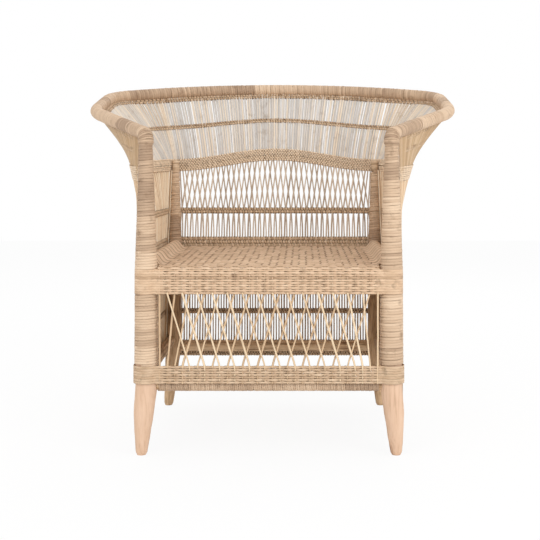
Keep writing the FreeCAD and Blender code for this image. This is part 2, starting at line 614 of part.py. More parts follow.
rim_trim = size("binding_radius") + 2.0
rim_wrap = cut("rim_wrap",
               rim_tube("rim_wrap_outer", rim_trim,
                        "Sizes.rim_pole_radius + Sizes.fit_gap + Sizes.wrap_thickness"),
               rim_tube("rim_wrap_inner", rim_trim, "Sizes.rim_pole_radius + Sizes.fit_gap"))
keep(rim_wrap, "rim_wrap")

knob = doc.addObject("Part::Sphere", "binding_knob")
knob.setExpression("Radius", "Sizes.binding_radius")
place(knob, "Derived.half_spacing", "Derived.front_y", "Derived.rim_front_height - 4")
less_nail = cut("binding_less_nail", knob, rim_nail_holes)
less_post = cut("binding_less_post", less_nail, front_right_post)
less_wrap = cut("binding_less_wrap", less_post, cones[0])
right_binding = cut("right_rim_binding", less_wrap, rim_pole)
keep(right_binding, "right_rim_binding")
mirrored(right_binding, "left_rim_binding")

# Woven seat: apron, front roll, deck and the two side rolls as one weave.


def box(name, x, y, z, length, width, height):
    """Box with bound sizes; x, y and z give its low corner."""
    item = doc.addObject("Part::Box", name)
    bind(item, {"Length": length, "Width": width, "Height": height})
    return place(item, x, y, z)


def quarter_roll(name, inner, outer, length, turn, x, y, z):
    """Quarter of a tube, turned into place."""
    tubes = []
    for part_name, radius in (("outer", outer), ("inner", inner)):
        tube = doc.addObject("Part::Cylinder", name + "_" + part_name)
        tube.Angle = 90
        tube.Placement = Placement(Vector(), turn)
        bind(tube, {"Radius": radius, "Height": length})
        tubes.append(place(tube, x, y, z))
    return cut(name, tubes[0], tubes[1])


ROLL_IN = "(Sizes.front_seat_rail_radius + Sizes.rest_gap)"
ROLL_OUT = "(Sizes.front_seat_rail_radius + Sizes.rest_gap + Sizes.weave_thickness)"
derive("weave_half", "Derived.half_spacing - Derived.front_r_seat - Sizes.wrap_thickness - 2")
derive("side_axis", "Derived.half_spacing - Sizes.side_seat_rail_inset")
derive("roll_start", "Derived.front_y + Derived.front_r_seat + Sizes.wrap_thickness + 1.5")
derive("roll_end", "Derived.rear_y + Derived.rear_shift_seat - Derived.rear_r_seat"
       " - Sizes.wrap_thickness - 1.5")
derive("deck_back", "Derived.rear_y + " + rear_shift("Derived.deck_under")
       + " + " + rear_upper_radius("Derived.deck_under")
       + " + Sizes.wrap_thickness + Sizes.fit_gap")
doc.recompute()


def seat_section():
    """Deck with its climbing sides and side rolls, cut across the chair."""
    slope = math.radians(size("weave_slope"))
    lean = Vector(-math.sin(slope), 0, math.cos(slope))
    diagonal = Vector(math.cos(math.pi / 4 - slope / 2), 0, math.sin(math.pi / 4 - slope / 2))
    centre = Vector(derived.side_axis, derived.roll_start, derived.side_seat_rail_height)
    inner = size("side_seat_rail_radius") + size("rest_gap")
    edges, ends = [], []
    for radius, level in ((inner, derived.deck_under),
                          (inner + size("weave_thickness"), derived.deck_top)):
        tangent = centre + lean * radius
        knee = Vector(tangent.x - (tangent.z - level) / math.tan(slope), tangent.y, level)
        skirt = centre + Vector(radius, 0, 0)
        right = [Part.makeLine(knee, tangent),
                 Part.Arc(tangent, centre + diagonal * radius, skirt).toShape()]
        edges += right + [edge.mirror(Vector(), Vector(1, 0, 0)) for edge in right]
        edges.append(Part.makeLine(Vector(-knee.x, knee.y, knee.z), knee))
        ends.append(skirt)
    for side in (1, -1):
        edges.append(Part.makeLine(*[Vector(side * end.x, end.y, end.z) for end in ends]))
    return Part.Face(Part.Wire(Part.__sortEdges__(edges)))


seat_wings = doc.addObject("Part::Feature", "seat_wings")
seat_wings.Shape = seat_section().extrude(Vector(0, derived.roll_end - derived.roll_start, 0))
seat_parts = [
    box("seat_apron", "-Derived.weave_half", "Derived.front_y - " + ROLL_OUT,
        "Sizes.front_seat_rail_height - Sizes.apron_height", "2 * Derived.weave_half",
        "Sizes.weave_thickness", "Sizes.apron_height"),
    quarter_roll("seat_front_roll", ROLL_IN, ROLL_OUT, "2 * Derived.weave_half",
                 Rotation(-BACK, UP, -RIGHT, "XYZ"), "Derived.weave_half", "Derived.front_y",
                 "Sizes.front_seat_rail_height"),
    box("seat_deck", "-Derived.weave_half", "Derived.front_y", "Derived.deck_under",
        "2 * Derived.weave_half", "Derived.deck_back - Derived.front_y", "Sizes.weave_thickness"),
    seat_wings,
]
seat_weave = doc.addObject("Part::MultiFuse", "seat_weave")
seat_weave.Shapes = seat_parts
seat_weave.Refine = True
keep(seat_weave, "seat_weave")

# Lower band of the front: two strips that hold the crossed canes between them.
BAND_EDGE = "(Derived.half_spacing - Derived.front_r_low - Sizes.wrap_thickness - 1)"
derive("lattice_back", "Derived.front_y + Sizes.front_rail_inset - Derived.wrapped_front_rail"
       " - Sizes.rest_gap - Sizes.strip_thickness - Sizes.fit_gap")
doc.recompute()
front_strips = [
    box("front_band_" + name, "-" + BAND_EDGE, y, "Sizes.front_band_low", "2 * " + BAND_EDGE,
        "Sizes.strip_thickness", "Sizes.front_band_height")
    for name, y in (("back", "Derived.lattice_back + Sizes.fit_gap"),
                    ("front", "Derived.lattice_back - 4 * Sizes.lattice_cane_radius"
                     " - 2 * Sizes.fit_gap - Sizes.strip_thickness"))]
front_lower_band = doc.addObject("Part::Compound", "front_lower_band")
front_lower_band.Links = front_strips
keep(front_lower_band, "front_lower_band")


def cane(points, radius):
    """Round cane through the given points, mitred at each bend."""
    rings = []
    for i, point in enumerate(points):
        heading = Vector()
        if i > 0:
            heading = heading + (point - points[i - 1]).normalize()
        if i < len(points) - 1:
            heading = heading + (points[i + 1] - point).normalize()
        ring = Part.makeCircle(radius)
        ring.Placement = Placement(point, Rotation(UP, heading.normalize()))
        rings.append(Part.Wire([ring]))
    return Part.makeLoft(rings, True, True)


def solids_piece(label, solids):
    """One named piece made of several separate solids."""
    item = doc.addObject("Part::Feature", label)
    item.Shape = Part.makeCompound(solids)
    return keep(item, label)


def edge_eased(index, count, steps, run):
    """Full sideways steps in the middle of a row, easing to none at the end it leans to."""
    return steps * max(0.0, min(1.0, (count - 1 - index) / run))


def front_lattice():
    """Crossed canes of the front in two layers, between the apron and the lower band."""
    radius = size("lattice_cane_radius")
    edge = derived.weave_half - 2 * radius
    count = 2 * int(edge / size("lattice_pitch"))
    pitch = 2 * edge / (count - 1)
    top = size("front_seat_rail_height") - size("apron_height") - size("fit_gap")
    foot = size("front_band_low") + 1.0
    band_top = size("front_band_low") + size("front_band_height")
    layers = ([], [])
    for index in range(count):
        layer = index % 2
        depth = derived.lattice_back - radius - layer * (2 * radius + size("fit_gap"))
        ahead = index if layer else count - 1 - index
        steps = edge_eased(ahead, count, size("lattice_step"), 2 * size("lattice_step"))
        shift = steps * pitch * (1 if layer else -1)
        x = -edge + index * pitch
        layers[layer].append(cane([Vector(x, depth, top), Vector(x + shift, depth, band_top),
                                   Vector(x + shift, depth, foot)], radius))
    return layers


rear_layer, front_layer = front_lattice()
solids_piece("front_lattice_rear_canes", rear_layer)
solids_piece("front_lattice_front_canes", front_layer)

# Cane panel round the sides and the back. A place on it is v: 0 to 1 along a side, 1 to 2 round
# the rear post, 2 to 3 to the middle of the back, and on to 6 mirrored.


def front_pole(level):
    """Wrapped front post radius at a height."""
    knee = size("rear_seat_level")
    if level < knee:
        share = (level - size("foot_height")) / (knee - size("foot_height"))
        ends = (size("front_shoulder_radius"), size("front_seat_radius"))
    else:
        share = (level - knee) / (size("front_post_height") - knee)
        ends = (size("front_seat_radius"), size("front_top_radius"))
    return ends[0] + share * (ends[1] - ends[0]) + size("fit_gap") + size("wrap_thickness")


def rear_pole(level):
    """Wrapped rear post radius at a height."""
    knee = size("rear_seat_level")
    if level < knee:
        share = (level - size("foot_height")) / (knee - size("foot_height"))
        ends = (size("rear_shoulder_radius"), size("rear_seat_radius"))
    else:
        share = (level - knee) / (derived.rear_post_height - knee)
        ends = (size("rear_seat_radius"), size("rear_top_radius"))
    return ends[0] + share * (ends[1] - ends[0]) + size("fit_gap") + size("wrap_thickness")


def level_point(v, level, bulge, bow, crown, droop):
    """Middle surface of the panel on one level curve, right half."""
    reach = front_pole(level - droop) + PANEL_START
    start = Vector(half_spacing + 0.8 * reach, front_y + 0.6 * reach, level - droop)
    ring = rear_pole(level) + size("rest_gap") + derived.band_half
    pole = Vector(half_spacing, rear_y + size("rear_lean") * level / derived.rear_post_height, level)
    if v <= 1:
        end = pole + Vector(ring, 0, 0)
        point = start + (end - start) * v
        point.x += bulge * 4 * v * (1 - v)
    elif v <= 2:
        angle = (v - 1) * math.pi / 2
        point = pole + Vector(ring * math.cos(angle), ring * math.sin(angle), 0)
    else:
        share = 3 - v
        point = Vector(pole.x * share, pole.y + ring + bow * (1 - share ** 2), level)
        point.z += crown * (1 + math.cos(math.pi * share)) / 2
    return point


def foot_point(v):
    return level_point(v, size("panel_foot"), 0.0, 0.0, 0.0, 0.0)


def seat_point(v):
    return level_point(v, size("rear_seat_level"), size("thin_band_bulge") / 2, 0.0, 0.0,
                       0.0)


def thin_point(v):
    return level_point(v, size("thin_band_level"), size("thin_band_bulge"),
                       size("thin_band_bow"), 0.0, 0.0)


def wide_point(v):
    return level_point(v, derived.wide_band_level, size("wide_band_bulge"),
                       size("wide_band_bow"), size("wide_band_crown"), size("wide_band_droop"))


def rim_point(v):
    """Rim axis over a place on the panel."""
    marks = [rim_trim + 6.0, size("rim_corner_start") * rim_half_length,
             size("rim_corner_end") * rim_half_length, rim_half_length]
    span = min(int(v), 2)
    distance = marks[span] + (marks[span + 1] - marks[span]) * (v - span)
    return rim_space(*rim_flat(distance))


def collar_point(v, share):
    """Collar surface between the wide band and the rim axis."""
    low, high = wide_point(v), rim_point(v)
    out = share ** size("collar_flare")
    return Vector(low.x + (high.x - low.x) * out, low.y + (high.y - low.y) * out,
                  low.z + (high.z - low.z) * share)


def panel_point(v, level):
    """Panel surface at a height below the wide band's middle."""
    low, high = foot_point(v), seat_point(v)
    if level > high.z:
        low, high = high, thin_point(v)
    if level > high.z:
        low, high = high, wide_point(v)
    return low + (high - low) * ((level - low.z) / (high.z - low.z))


def both_sides(surface, v, height):
    """Surface point and outward normal anywhere round the panel."""
    sign = 1 if v <= 3 else -1
    right_v = v if v <= 3 else 6 - v
    step = 0.004
    here = surface(right_v, height)
    along = Vector()
    for stretch in (surface(min(right_v + step, 3), height) - here,
                    here - surface(max(right_v - step, 0), height)):
        along = along + stretch * (1 / max(stretch.Length, 0.001))
    rise = surface(right_v, height + step) - here if surface is collar_point \
        else surface(right_v, height + 1) - here
    normal = along.cross(rise).normalize()
    return Vector(sign * here.x, here.y, here.z), Vector(sign * normal.x, normal.y, normal.z)


def section_offsets(points, across):
    """Vectors that shift a bent line in its plane, so that each stretch moves by one."""
    normals = [across.cross(b - a).normalize() for a, b in zip(points, points[1:])]
    offsets = [normals[0]]
    for before, after in zip(normals, normals[1:]):
        middle = (before + after).normalize()
        offsets.append(middle * (1 / middle.dot(after)))
    return offsets + [normals[-1]]


def band(label, lines, cane_half, counts):
    """Two strips, inside and outside the canes, through lines given as functions of v."""
    marks = [0.0]
    for stretch, count in enumerate(counts):
        marks += [stretch + (i + 1) / count for i in range(count)]
    marks += [6 - v for v in reversed(marks[:-1])]
    strips = []
    inner_face = cane_half + size("fit_gap")
    outer_face = inner_face + size("strip_thickness")
    for side in (-1, 1):
        sections = []
        for v in marks:
            points, normals = zip(*[line(v) for line in lines])
            normal = (normals[0] + normals[-1]).normalize()
            across = (points[-1] - points[0]).cross(normal).normalize()
            flat = [point - across * (point - points[0]).dot(across) for point in points]
            offsets = section_offsets(flat, across)
            corners = [point + offset * (side * inner_face) for point, offset in zip(flat, offsets)]
            outside = [point + offset * (side * outer_face) for point, offset in zip(flat, offsets)]
            corners += outside[::-1]
            sections.append(Part.makePolygon(corners + corners[:1]))
        strips.append(Part.makeLoft(sections, True, True))
    return solids_piece(label, strips)


def level_band(label, low, height):
    """Band between two heights of the lower panel."""
    band(label, [lambda v: both_sides(panel_point, v, low),
                 lambda v: both_sides(panel_point, v, low + height)], derived.panel_half, PANEL_COUNTS)


def wide_edge(v, drop):
    """Line of the wide band below its middle."""
    return both_sides(panel_point, v, wide_point(v if v <= 3 else 6 - v).z - drop)


def cane_start(v, offset):
    """Point on a collar cane, a distance up from the wide band's middle."""
    low, _ = both_sides(collar_point, v, 0.0)
    quarter, normal = both_sides(collar_point, v, size("mid_band_share") / 2)
    return low + (quarter - low).normalize() * offset, normal


def collar_edge(v, share, offset):
    """Edge a distance along the cane from a share of the collar's rise."""
    point, normal = both_sides(collar_point, v, share)
    beyond, _ = both_sides(collar_point, v, share + 0.01)
    return point + (beyond - point).normalize() * offset, normal


def under_rim(v, distance):
    """Point on the collar a distance short of the rim axis."""
    _, normal = both_sides(collar_point, v, 0.98)
    low, _ = both_sides(collar_point, v, size("mid_band_share"))
    right_v = v if v <= 3 else 6 - v
    axis = rim_point(right_v)
    axis.x = axis.x if v <= 3 else -axis.x
    return axis + (low - axis).normalize() * distance, normal


# Stretches per band on a side, round a post and on half the back.
PANEL_COUNTS = (24, 9, 12)
COLLAR_COUNTS = (60, 9, 16)
collar_half = size("collar_cane_radius") + size("fit_gap")
level_band("bottom_band", size("panel_foot") - 1.0, size("bottom_band_height"))
level_band("low_thin_band", size("low_band_level") - size("low_band_height") / 2,
           size("low_band_height"))
level_band("seat_band", size("seat_band_low"), size("seat_band_height"))
half_thin = size("thin_band_height") / 2
band("thin_band", [lambda v: both_sides(panel_point, v, size("thin_band_level") - half_thin),
                   lambda v: both_sides(panel_point, v, size("thin_band_level")),
                   lambda v: both_sides(panel_point, v, size("thin_band_level") + half_thin)],
     derived.panel_half, PANEL_COUNTS)
half_wide = size("wide_band_height") / 2
band("wide_band", [lambda v: wide_edge(v, half_wide), lambda v: wide_edge(v, 0.5),
                   lambda v: cane_start(v, half_wide)], derived.panel_half, PANEL_COUNTS)
half_mid = size("mid_band_height") / 2
band("mid_collar_band", [lambda v: collar_edge(v, size("mid_band_share"), -half_mid),
                         lambda v: collar_edge(v, size("mid_band_share"), half_mid)],
     collar_half, COLLAR_COUNTS)
rim_skin = size("rim_pole_radius") + size("fit_gap") + size("wrap_thickness")
band("rim_band", [lambda v: under_rim(v, rim_skin + 2.0 + size("rim_band_height")),
                  lambda v: under_rim(v, rim_skin + 2.0)], collar_half, COLLAR_COUNTS)


def spread(lengths, pitch, begin):
    """Places of evenly pitched canes on the right half, from front to back, by stretch."""
    places = []
    for stretch, length in enumerate(lengths):
        count = max(1, int(round(length / pitch)))
        first = begin if stretch == 0 else 0.0
        places.append([stretch + first + (1 - first) * (i + 0.5) / count for i in range(count)])
    return places


def stretch_lengths(curve):
    """Lengths of side, corner and half back on a level curve."""
    lengths = []
    for stretch in range(3):
        points = [curve(stretch + i / 24) for i in range(25)]
        lengths.append(sum((b - a).Length for a, b in zip(points, points[1:])))
    return lengths


def at(surface, v, height, layer):
    """Axis of a cane in one of the two layers."""
    point, normal = both_sides(surface, v, height)
    return point + normal * (layer * derived.panel_half / 2)


def upright(v_low, v_thin, v_high, layer):
    """Cane from the bottom band, past the thin band, into the wide band."""
    right_v = v_high if v_high <= 3 else 6 - v_high
    points = [at(panel_point, v_low, size("panel_foot"), layer),
              at(panel_point, v_low, size("rear_seat_level"), layer),
              at(panel_point, v_thin, size("thin_band_level"), layer),
              at(panel_point, v_high, wide_point(right_v).z - 0.6, layer)]
    return cane(points, size("cane_radius"))


side_places, corner_places, back_places = spread(stretch_lengths(thin_point),
                                                 size("cane_pitch"), 0.012)
side_row = [(v, 1 if i % 2 else -1) for i, v in enumerate(side_places + corner_places)]
solids_piece("right_side_canes", [upright(v, v, v, layer) for v, layer in side_row])
solids_piece("left_side_canes", [upright(6 - v, 6 - v, 6 - v, layer) for v, layer in side_row])
back_row = back_places + [6 - v for v in reversed(back_places)]
row_pitch = back_row[1] - back_row[0]
families = {1: [], -1: []}
for index, v in enumerate(back_row):
    layer = 1 if index % 2 else -1
    ahead = index if layer > 0 else len(back_row) - 1 - index
    steps = edge_eased(ahead, len(back_row), size("back_step"), 2 * size("back_step"))
    meet = layer * row_pitch * steps / (2 * size("back_step"))
    families[layer].append(upright(v, v + meet, v + meet + layer * steps * row_pitch, layer))
solids_piece("back_outer_canes", families[1])
solids_piece("back_inner_canes", families[-1])


def cane_end(v):
    """Point where a collar cane, slanting along the rim, stops short of the rim's wrap."""
    right_v = v if v <= 3 else 6 - v
    axis = rim_point(right_v)
    run = (rim_point(min(right_v + 0.01, 3)) - rim_point(max(right_v - 0.01, 0))).normalize()
    slant = abs((collar_point(right_v, size("mid_band_share")) - axis).normalize().dot(run))
    clear = rim_skin + size("fit_gap") + size("collar_cane_radius") * slant
    return under_rim(v, clear / math.sqrt(1 - slant ** 2))[0]


def collar_cane(v):
    """Cane from the wide band's middle through the middle band to the rim's wrap."""
    low, _ = both_sides(collar_point, v, 0.0)
    middle, _ = both_sides(collar_point, v, size("mid_band_share"))
    end = cane_end(v)
    start = low + (middle - low) * (0.6 / (middle.z - low.z))
    quarter, _ = both_sides(collar_point, v, size("mid_band_share") / 2)
    return cane([start, quarter, middle, end], size("collar_cane_radius"))


collar_side, collar_corner, collar_back = spread(
    stretch_lengths(lambda v: collar_point(v, size("mid_band_share"))), size("collar_pitch"), 0.02)
solids_piece("right_collar_canes", [collar_cane(v) for v in collar_side + collar_corner])
solids_piece("left_collar_canes", [collar_cane(6 - v) for v in collar_side + collar_corner])
solids_piece("back_collar_canes", [collar_cane(v) for v in collar_back]
             + [collar_cane(6 - v) for v in collar_back])

doc.recompute()
for item in doc.Objects:
    if "Invalid" in item.State or "Error" in item.State:
        raise RuntimeError("not built: " + item.Label)
for item in pieces:
    if item.Shape.isNull() or not item.Shape.isValid():
        raise RuntimeError("bad shape: " + item.Label)
    if any(solid.Volume < 1.0 for solid in item.Shape.Solids) or not item.Shape.Solids:
        raise RuntimeError("no volume: " + item.Label)
    item.Shape.exportStep("parts/%s.step" % item.Label)
print(len(pieces), "pieces,", sum(len(item.Shape.Solids) for item in pieces), "solids")
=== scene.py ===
# %% [markdown]
# # A cane armchair with a flared, bound collar
# The chair is a frame of pegged poles. Thin canes stand round its sides and back, bands of twined
# weavers hold them, and a bent rim ends the collar. Nearly everything on it is a line that is
# wound, woven or stood in a row, so most pieces here are paths that a Geometry Nodes tree turns
# into cane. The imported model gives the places; every piece is built where the model has it.

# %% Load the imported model
import math
import random

import bpy
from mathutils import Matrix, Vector


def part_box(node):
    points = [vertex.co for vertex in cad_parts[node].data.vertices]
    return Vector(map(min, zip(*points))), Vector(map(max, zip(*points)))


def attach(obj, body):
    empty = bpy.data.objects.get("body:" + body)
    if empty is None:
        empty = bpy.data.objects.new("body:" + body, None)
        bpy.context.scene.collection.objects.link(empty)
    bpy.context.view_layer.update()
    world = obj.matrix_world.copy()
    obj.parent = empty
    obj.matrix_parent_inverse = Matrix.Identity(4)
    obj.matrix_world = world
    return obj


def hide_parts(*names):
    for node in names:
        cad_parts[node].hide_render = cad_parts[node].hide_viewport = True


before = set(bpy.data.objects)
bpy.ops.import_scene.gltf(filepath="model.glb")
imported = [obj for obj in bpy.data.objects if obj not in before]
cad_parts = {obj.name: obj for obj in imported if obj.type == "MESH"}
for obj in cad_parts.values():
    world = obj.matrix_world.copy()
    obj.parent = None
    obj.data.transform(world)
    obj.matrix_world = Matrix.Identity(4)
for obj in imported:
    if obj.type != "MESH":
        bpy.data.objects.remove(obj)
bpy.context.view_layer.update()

# %% [markdown]
# ## Camera, light and floor
# The picture was taken a little above the seat, straight at the front, slightly right of the
# middle. A long lens keeps the posts nearly upright. The camera tips down a little and a
# small shift does the rest of the framing.

# %% Camera
FRAME_PIXELS = 540
SENSOR = 36.0
FOCAL_PIXELS = 1066.0
VANISHING_POINT = (302.0, 161.0)
CAMERA_TIP = math.radians(0.8)
CAMERA_PLACE = (0.073, -2.667, 0.647)


def added(name, data):
    """New object in the scene."""
    made = bpy.data.objects.new(name, data)
    bpy.context.scene.collection.objects.link(made)
    return made


camera_data = bpy.data.cameras.new("front_camera")
camera_data.sensor_width = SENSOR
camera_data.lens = FOCAL_PIXELS / FRAME_PIXELS * SENSOR
axis_row = VANISHING_POINT[1] + FOCAL_PIXELS * math.tan(CAMERA_TIP)
camera_data.shift_x = (FRAME_PIXELS / 2 - VANISHING_POINT[0]) / FRAME_PIXELS
camera_data.shift_y = (axis_row - FRAME_PIXELS / 2) / FRAME_PIXELS
camera = added("front_camera", camera_data)
camera.location = CAMERA_PLACE
camera.rotation_euler = (math.pi / 2 - CAMERA_TIP, 0, 0)
bpy.context.scene.camera = camera
bpy.context.scene.view_settings.view_transform = "Standard"
print("lens", round(camera_data.lens, 1), "shift", round(camera_data.shift_x, 3),
      round(camera_data.shift_y, 3))

# %% [markdown]
# Node trees are long to write out by hand. The first helper lets a node's output stand in a sum,
# so that a formula here reads like a formula: each sum adds one Math node.

# %% Outputs that can be summed


class Value:
    """A node's output; a sum with it adds a Math node."""

    def __init__(self, net, socket):
        self.net = net
        self.socket = socket

    def __add__(self, other):
        return self.net.math("ADD", self, other)

    def __sub__(self, other):
        return self.net.math("SUBTRACT", self, other)

    def __rsub__(self, other):
        return self.net.math("SUBTRACT", other, self)

    def __mul__(self, other):
        return self.net.math("MULTIPLY", self, other)

    def __truediv__(self, other):
        return self.net.math("DIVIDE", self, other)

    def __abs__(self):
        return self.net.math("ABSOLUTE", self)


print("sums add Math nodes")

# %% [markdown]
# The second helper adds a node, sets its options and fills or links its inputs in one call, for
# materials and for geometry alike. It has short names for the nodes that are used most.

# %% A helper for node trees


class Net:
    """Adds nodes to a tree and links them as they are made."""

    def __init__(self, tree):
        self.tree = tree

    def link(self, value, socket):
        self.tree.links.new(value.socket, socket)

    def node(self, kind, inputs=None, **options):
        made = self.tree.nodes.new(kind)
        for name, value in options.items():
            setattr(made, name, value)
        for key, value in (inputs or {}).items():
            if isinstance(value, Value):
                self.link(value, made.inputs[key])
            else:
                made.inputs[key].default_value = value
        return made

    def out(self, kind, inputs=None, key=0, **options):
        """One output of a new node."""
        return Value(self, self.node(kind, inputs, **options).outputs[key])

    def math(self, operation, first, second=0.0):
        return self.out("ShaderNodeMath", {0: first, 1: second}, operation=operation)

    def vector(self, operation, first, second=(0, 0, 0), key=0):
        return self.out("ShaderNodeVectorMath", {0: first, 1: second}, key, operation=operation)

    def scaled(self, vector, factor):
        return self.out("ShaderNodeVectorMath", {0: vector, 3: factor}, operation="SCALE")

    def joined(self, x, y, z):
        return self.out("ShaderNodeCombineXYZ", {0: x, 1: y, 2: z})

    def parts(self, vector):
        """The three numbers of a vector."""
        return [Value(self, socket) for socket in self.node("ShaderNodeSeparateXYZ", {0: vector}).outputs]

    def span(self, value, low, high):
        """0 below low, 1 above high, a straight climb between."""
        return self.out("ShaderNodeMapRange", {0: value, 1: low, 2: high, 3: 0.0, 4: 1.0}, clamp=True)

    def noise(self, place, scale, detail, rough=0.5, distortion=0.0, key=0):
        """Cloudy pattern in space."""
        return self.out("ShaderNodeTexNoise", {
            "Vector": place, "Scale": scale, "Detail": detail, "Roughness": rough,
            "Distortion": distortion}, key)

    def random(self, dimensions, **place):
        """Number from 0 to 1 that jumps from one place to the next."""
        return self.out("ShaderNodeTexWhiteNoise", place, "Value", noise_dimensions=dimensions)


print("nodes are linked as they are made")

# %% [markdown]
# A finish starts from one shader with its roughness. Colours are written as a colour picker shows
# them and turned into the linear values that a shader wants.

# %% Colours and plain finishes


def colour(red, green, blue):
    """Linear colour from the 0 to 255 values of a colour picker."""
    def linear(value):
        share = value / 255
        return share / 12.92 if share < 0.04045 else ((share + 0.055) / 1.055) ** 2.4
    return (linear(red), linear(green), linear(blue), 1.0)


def finish(name, rough, specular=0.5):
    """New material with its tree helper and its main shader."""
    material = bpy.data.materials.new(name)
    material.use_nodes = True
    shader = material.node_tree.nodes["Principled BSDF"]
    shader.inputs["Roughness"].default_value = rough
    shader.inputs["Specular IOR Level"].default_value = specular
    return material, Net(material.node_tree), shader


print("mid grey is", round(colour(128, 128, 128)[0], 3), "in linear light")

# %% [markdown]
# The photograph has a white ground and very even light. The world is white to the eye and a soft
# sky to the chair. Two large lamps in front give it a little direction and one behind lights the
# rim. The floor glows just enough to melt into the ground while it keeps the shadow.

# %% Light and floor
SKY_STRENGTH = 0.80
FLOOR_REACH, FLOOR_LEVEL, FLOOR_GLOW = 6.0, -0.0005, 0.9
LAMP_TARGET = Vector((0, 0, 0.42))
LAMPS = [
    ("key_lamp", (2.2, -2.6, 1.9), 2.2, 38.0),
    ("fill_lamp", (-1.7, -2.9, 2.5), 2.2, 24.0),
    ("back_lamp", (0.3, 2.6, 2.4), 1.8, 18.0),
]


def seen_directly(net):
    """1 where the eye, a mirror or glass looks at this surface, 0 for the light it gives."""
    path = net.node("ShaderNodeLightPath").outputs
    rays = [Value(net, path["Is %s Ray" % kind]) for kind in ("Camera", "Glossy", "Transmission")]
    return net.math("MAXIMUM", net.math("MAXIMUM", rays[0], rays[1]), rays[2])


world = bpy.data.worlds.new("studio")
world.use_nodes = True
bpy.context.scene.world = world
net = Net(world.node_tree)
sky = world.node_tree.nodes["Background"]
sky.inputs["Color"].default_value = (1, 1, 1, 1)
net.link(seen_directly(net) * (1 - SKY_STRENGTH) + SKY_STRENGTH, sky.inputs["Strength"])

for name, place, width, power in LAMPS:
    lamp_data = bpy.data.lights.new(name, "AREA")
    lamp_data.size = width
    lamp_data.energy = power
    lamp = added(name, lamp_data)
    lamp.location = place
    lamp.rotation_euler = (LAMP_TARGET - Vector(place)).to_track_quat("-Z", "Y").to_euler()

floor_paint, net, matte = finish("pale_floor", 0.9, 0.1)
matte.inputs["Base Color"].default_value = (0.95, 0.95, 0.95, 1)
glow = net.out("ShaderNodeEmission", {"Color": (1, 1, 1, 1), "Strength": 1.0})
blend = net.out("ShaderNodeMixShader", {
    0: seen_directly(net) * FLOOR_GLOW, 1: Value(net, matte.outputs[0]), 2: glow})
net.link(blend, net.tree.nodes["Material Output"].inputs[0])

corners = [(x * FLOOR_REACH, y * FLOOR_REACH, FLOOR_LEVEL) for x, y in ((-1, -1), (1, -1), (1, 1), (-1, 1))]
floor_mesh = bpy.data.meshes.new("floor")
floor_mesh.from_pydata(corners, [], [(0, 1, 2, 3)])
floor_mesh.materials.append(floor_paint)
floor = added("floor", floor_mesh)
print(len(LAMPS), "lamps and a floor", 2 * FLOOR_REACH, "m across")

# %% [markdown]
# ## Finishes
# Every cane carries numbers from its tree: `tone`, how light this stretch is, `across`, the
# place from one edge of the strip to the other, `run`, the length along it, and on the wall
# `skin`, which is above 0 on the side that looks out of the chair. With these a finish can draw
# fibres that follow the cane round a pole, shade the seams, change colour from one cane to the
# next and give split cane its paler pith side, which a pattern fixed in space could not do.

# %% Parts of a finish


def number(net, name):
    """A number that the piece carries at each point."""
    return net.out("ShaderNodeAttribute", key="Fac", attribute_name=name)


def own_place(net):
    return net.out("ShaderNodeTexCoord", key="Object")


def ramp(net, factor, stops):
    """Colours by a number; each stop is a place from 0 to 1 with its red, green and blue."""
    made = net.node("ShaderNodeValToRGB", {0: factor})
    points = made.color_ramp.elements
    while len(points) < len(stops):
        points.new(0.5)
    for point, (place, *shade) in zip(points, stops):
        point.position = place
        point.color = colour(*shade)
    return Value(net, made.outputs[0])


def mixed(net, factor, first, second):
    """Blend of two colours."""
    return net.out("ShaderNodeMix", {0: factor, 6: first, 7: second}, 2, data_type="RGBA")


def surfaced(net, shader, shade, strength, distance, height):
    """Give a shader its colour and its relief."""
    net.link(shade, shader.inputs["Base Color"])
    bump = net.out("ShaderNodeBump", {"Strength": strength, "Distance": distance, "Height": height})
    net.link(bump, shader.inputs["Normal"])


print("finishes can read numbers from a piece")

# %% [markdown]
# Peeled cane has fine fibres and small stains, and painted shade darkens the seams where strips meet. The
# fibres are a noise that is stretched along the run. Other patterns, such as dashes of painted shade, can be
# laid over them.

# %% Cane finish
FIBRE_PLACE, FIBRE_DEPTH = (55.0, 2.6, 41.0), 0.5
PITH_EDGES, SEAM_POWER = (-0.3, 0.3), 5.0
STAIN_SCALE, STAIN_EDGES, STAIN_SHARE = 46.0, (0.58, 0.8), 0.6


def cane_finish(name, shades, stain_and_shade, seam_shade, marks=None, pith=None):
    """Peeled cane: fibres, a tone for each cane, stains, painted shade at the seams; the pith side may be
    paler.
    """
    material, net, shader = finish(name, 0.62, 0.28)
    tone, across, run = (number(net, key) for key in ("tone", "across", "run"))
    stain_and_shade = colour(*stain_and_shade)
    place = net.joined(run * FIBRE_PLACE[0], across * FIBRE_PLACE[1], tone * FIBRE_PLACE[2])
    grain = net.noise(place, 1.0, 4.0, 0.65)
    level = tone + (grain - 0.5) * FIBRE_DEPTH
    shade = ramp(net, level, shades)
    if pith:
        inside = 1.0 - net.span(number(net, "skin"), *PITH_EDGES)
        shade = mixed(net, inside, shade, ramp(net, level, pith))
    spots = net.noise(own_place(net), STAIN_SCALE, 3.0, 0.6)
    shade = mixed(net, net.span(spots, *STAIN_EDGES) * STAIN_SHARE, shade, stain_and_shade)
    # Painted shade along the seams where strips meet, in the stain colour.
    shade = mixed(net, net.math("POWER", abs(across), SEAM_POWER) * seam_shade, shade, stain_and_shade)
    # The marks are painted shade, in the same colour.
    if marks:
        shade = mixed(net, marks(net), shade, stain_and_shade)
    surfaced(net, shader, shade, 0.35, 0.0006, grain)
    return material


print("fibres change every", round(1 / FIBRE_PLACE[0], 3), "m along a cane")
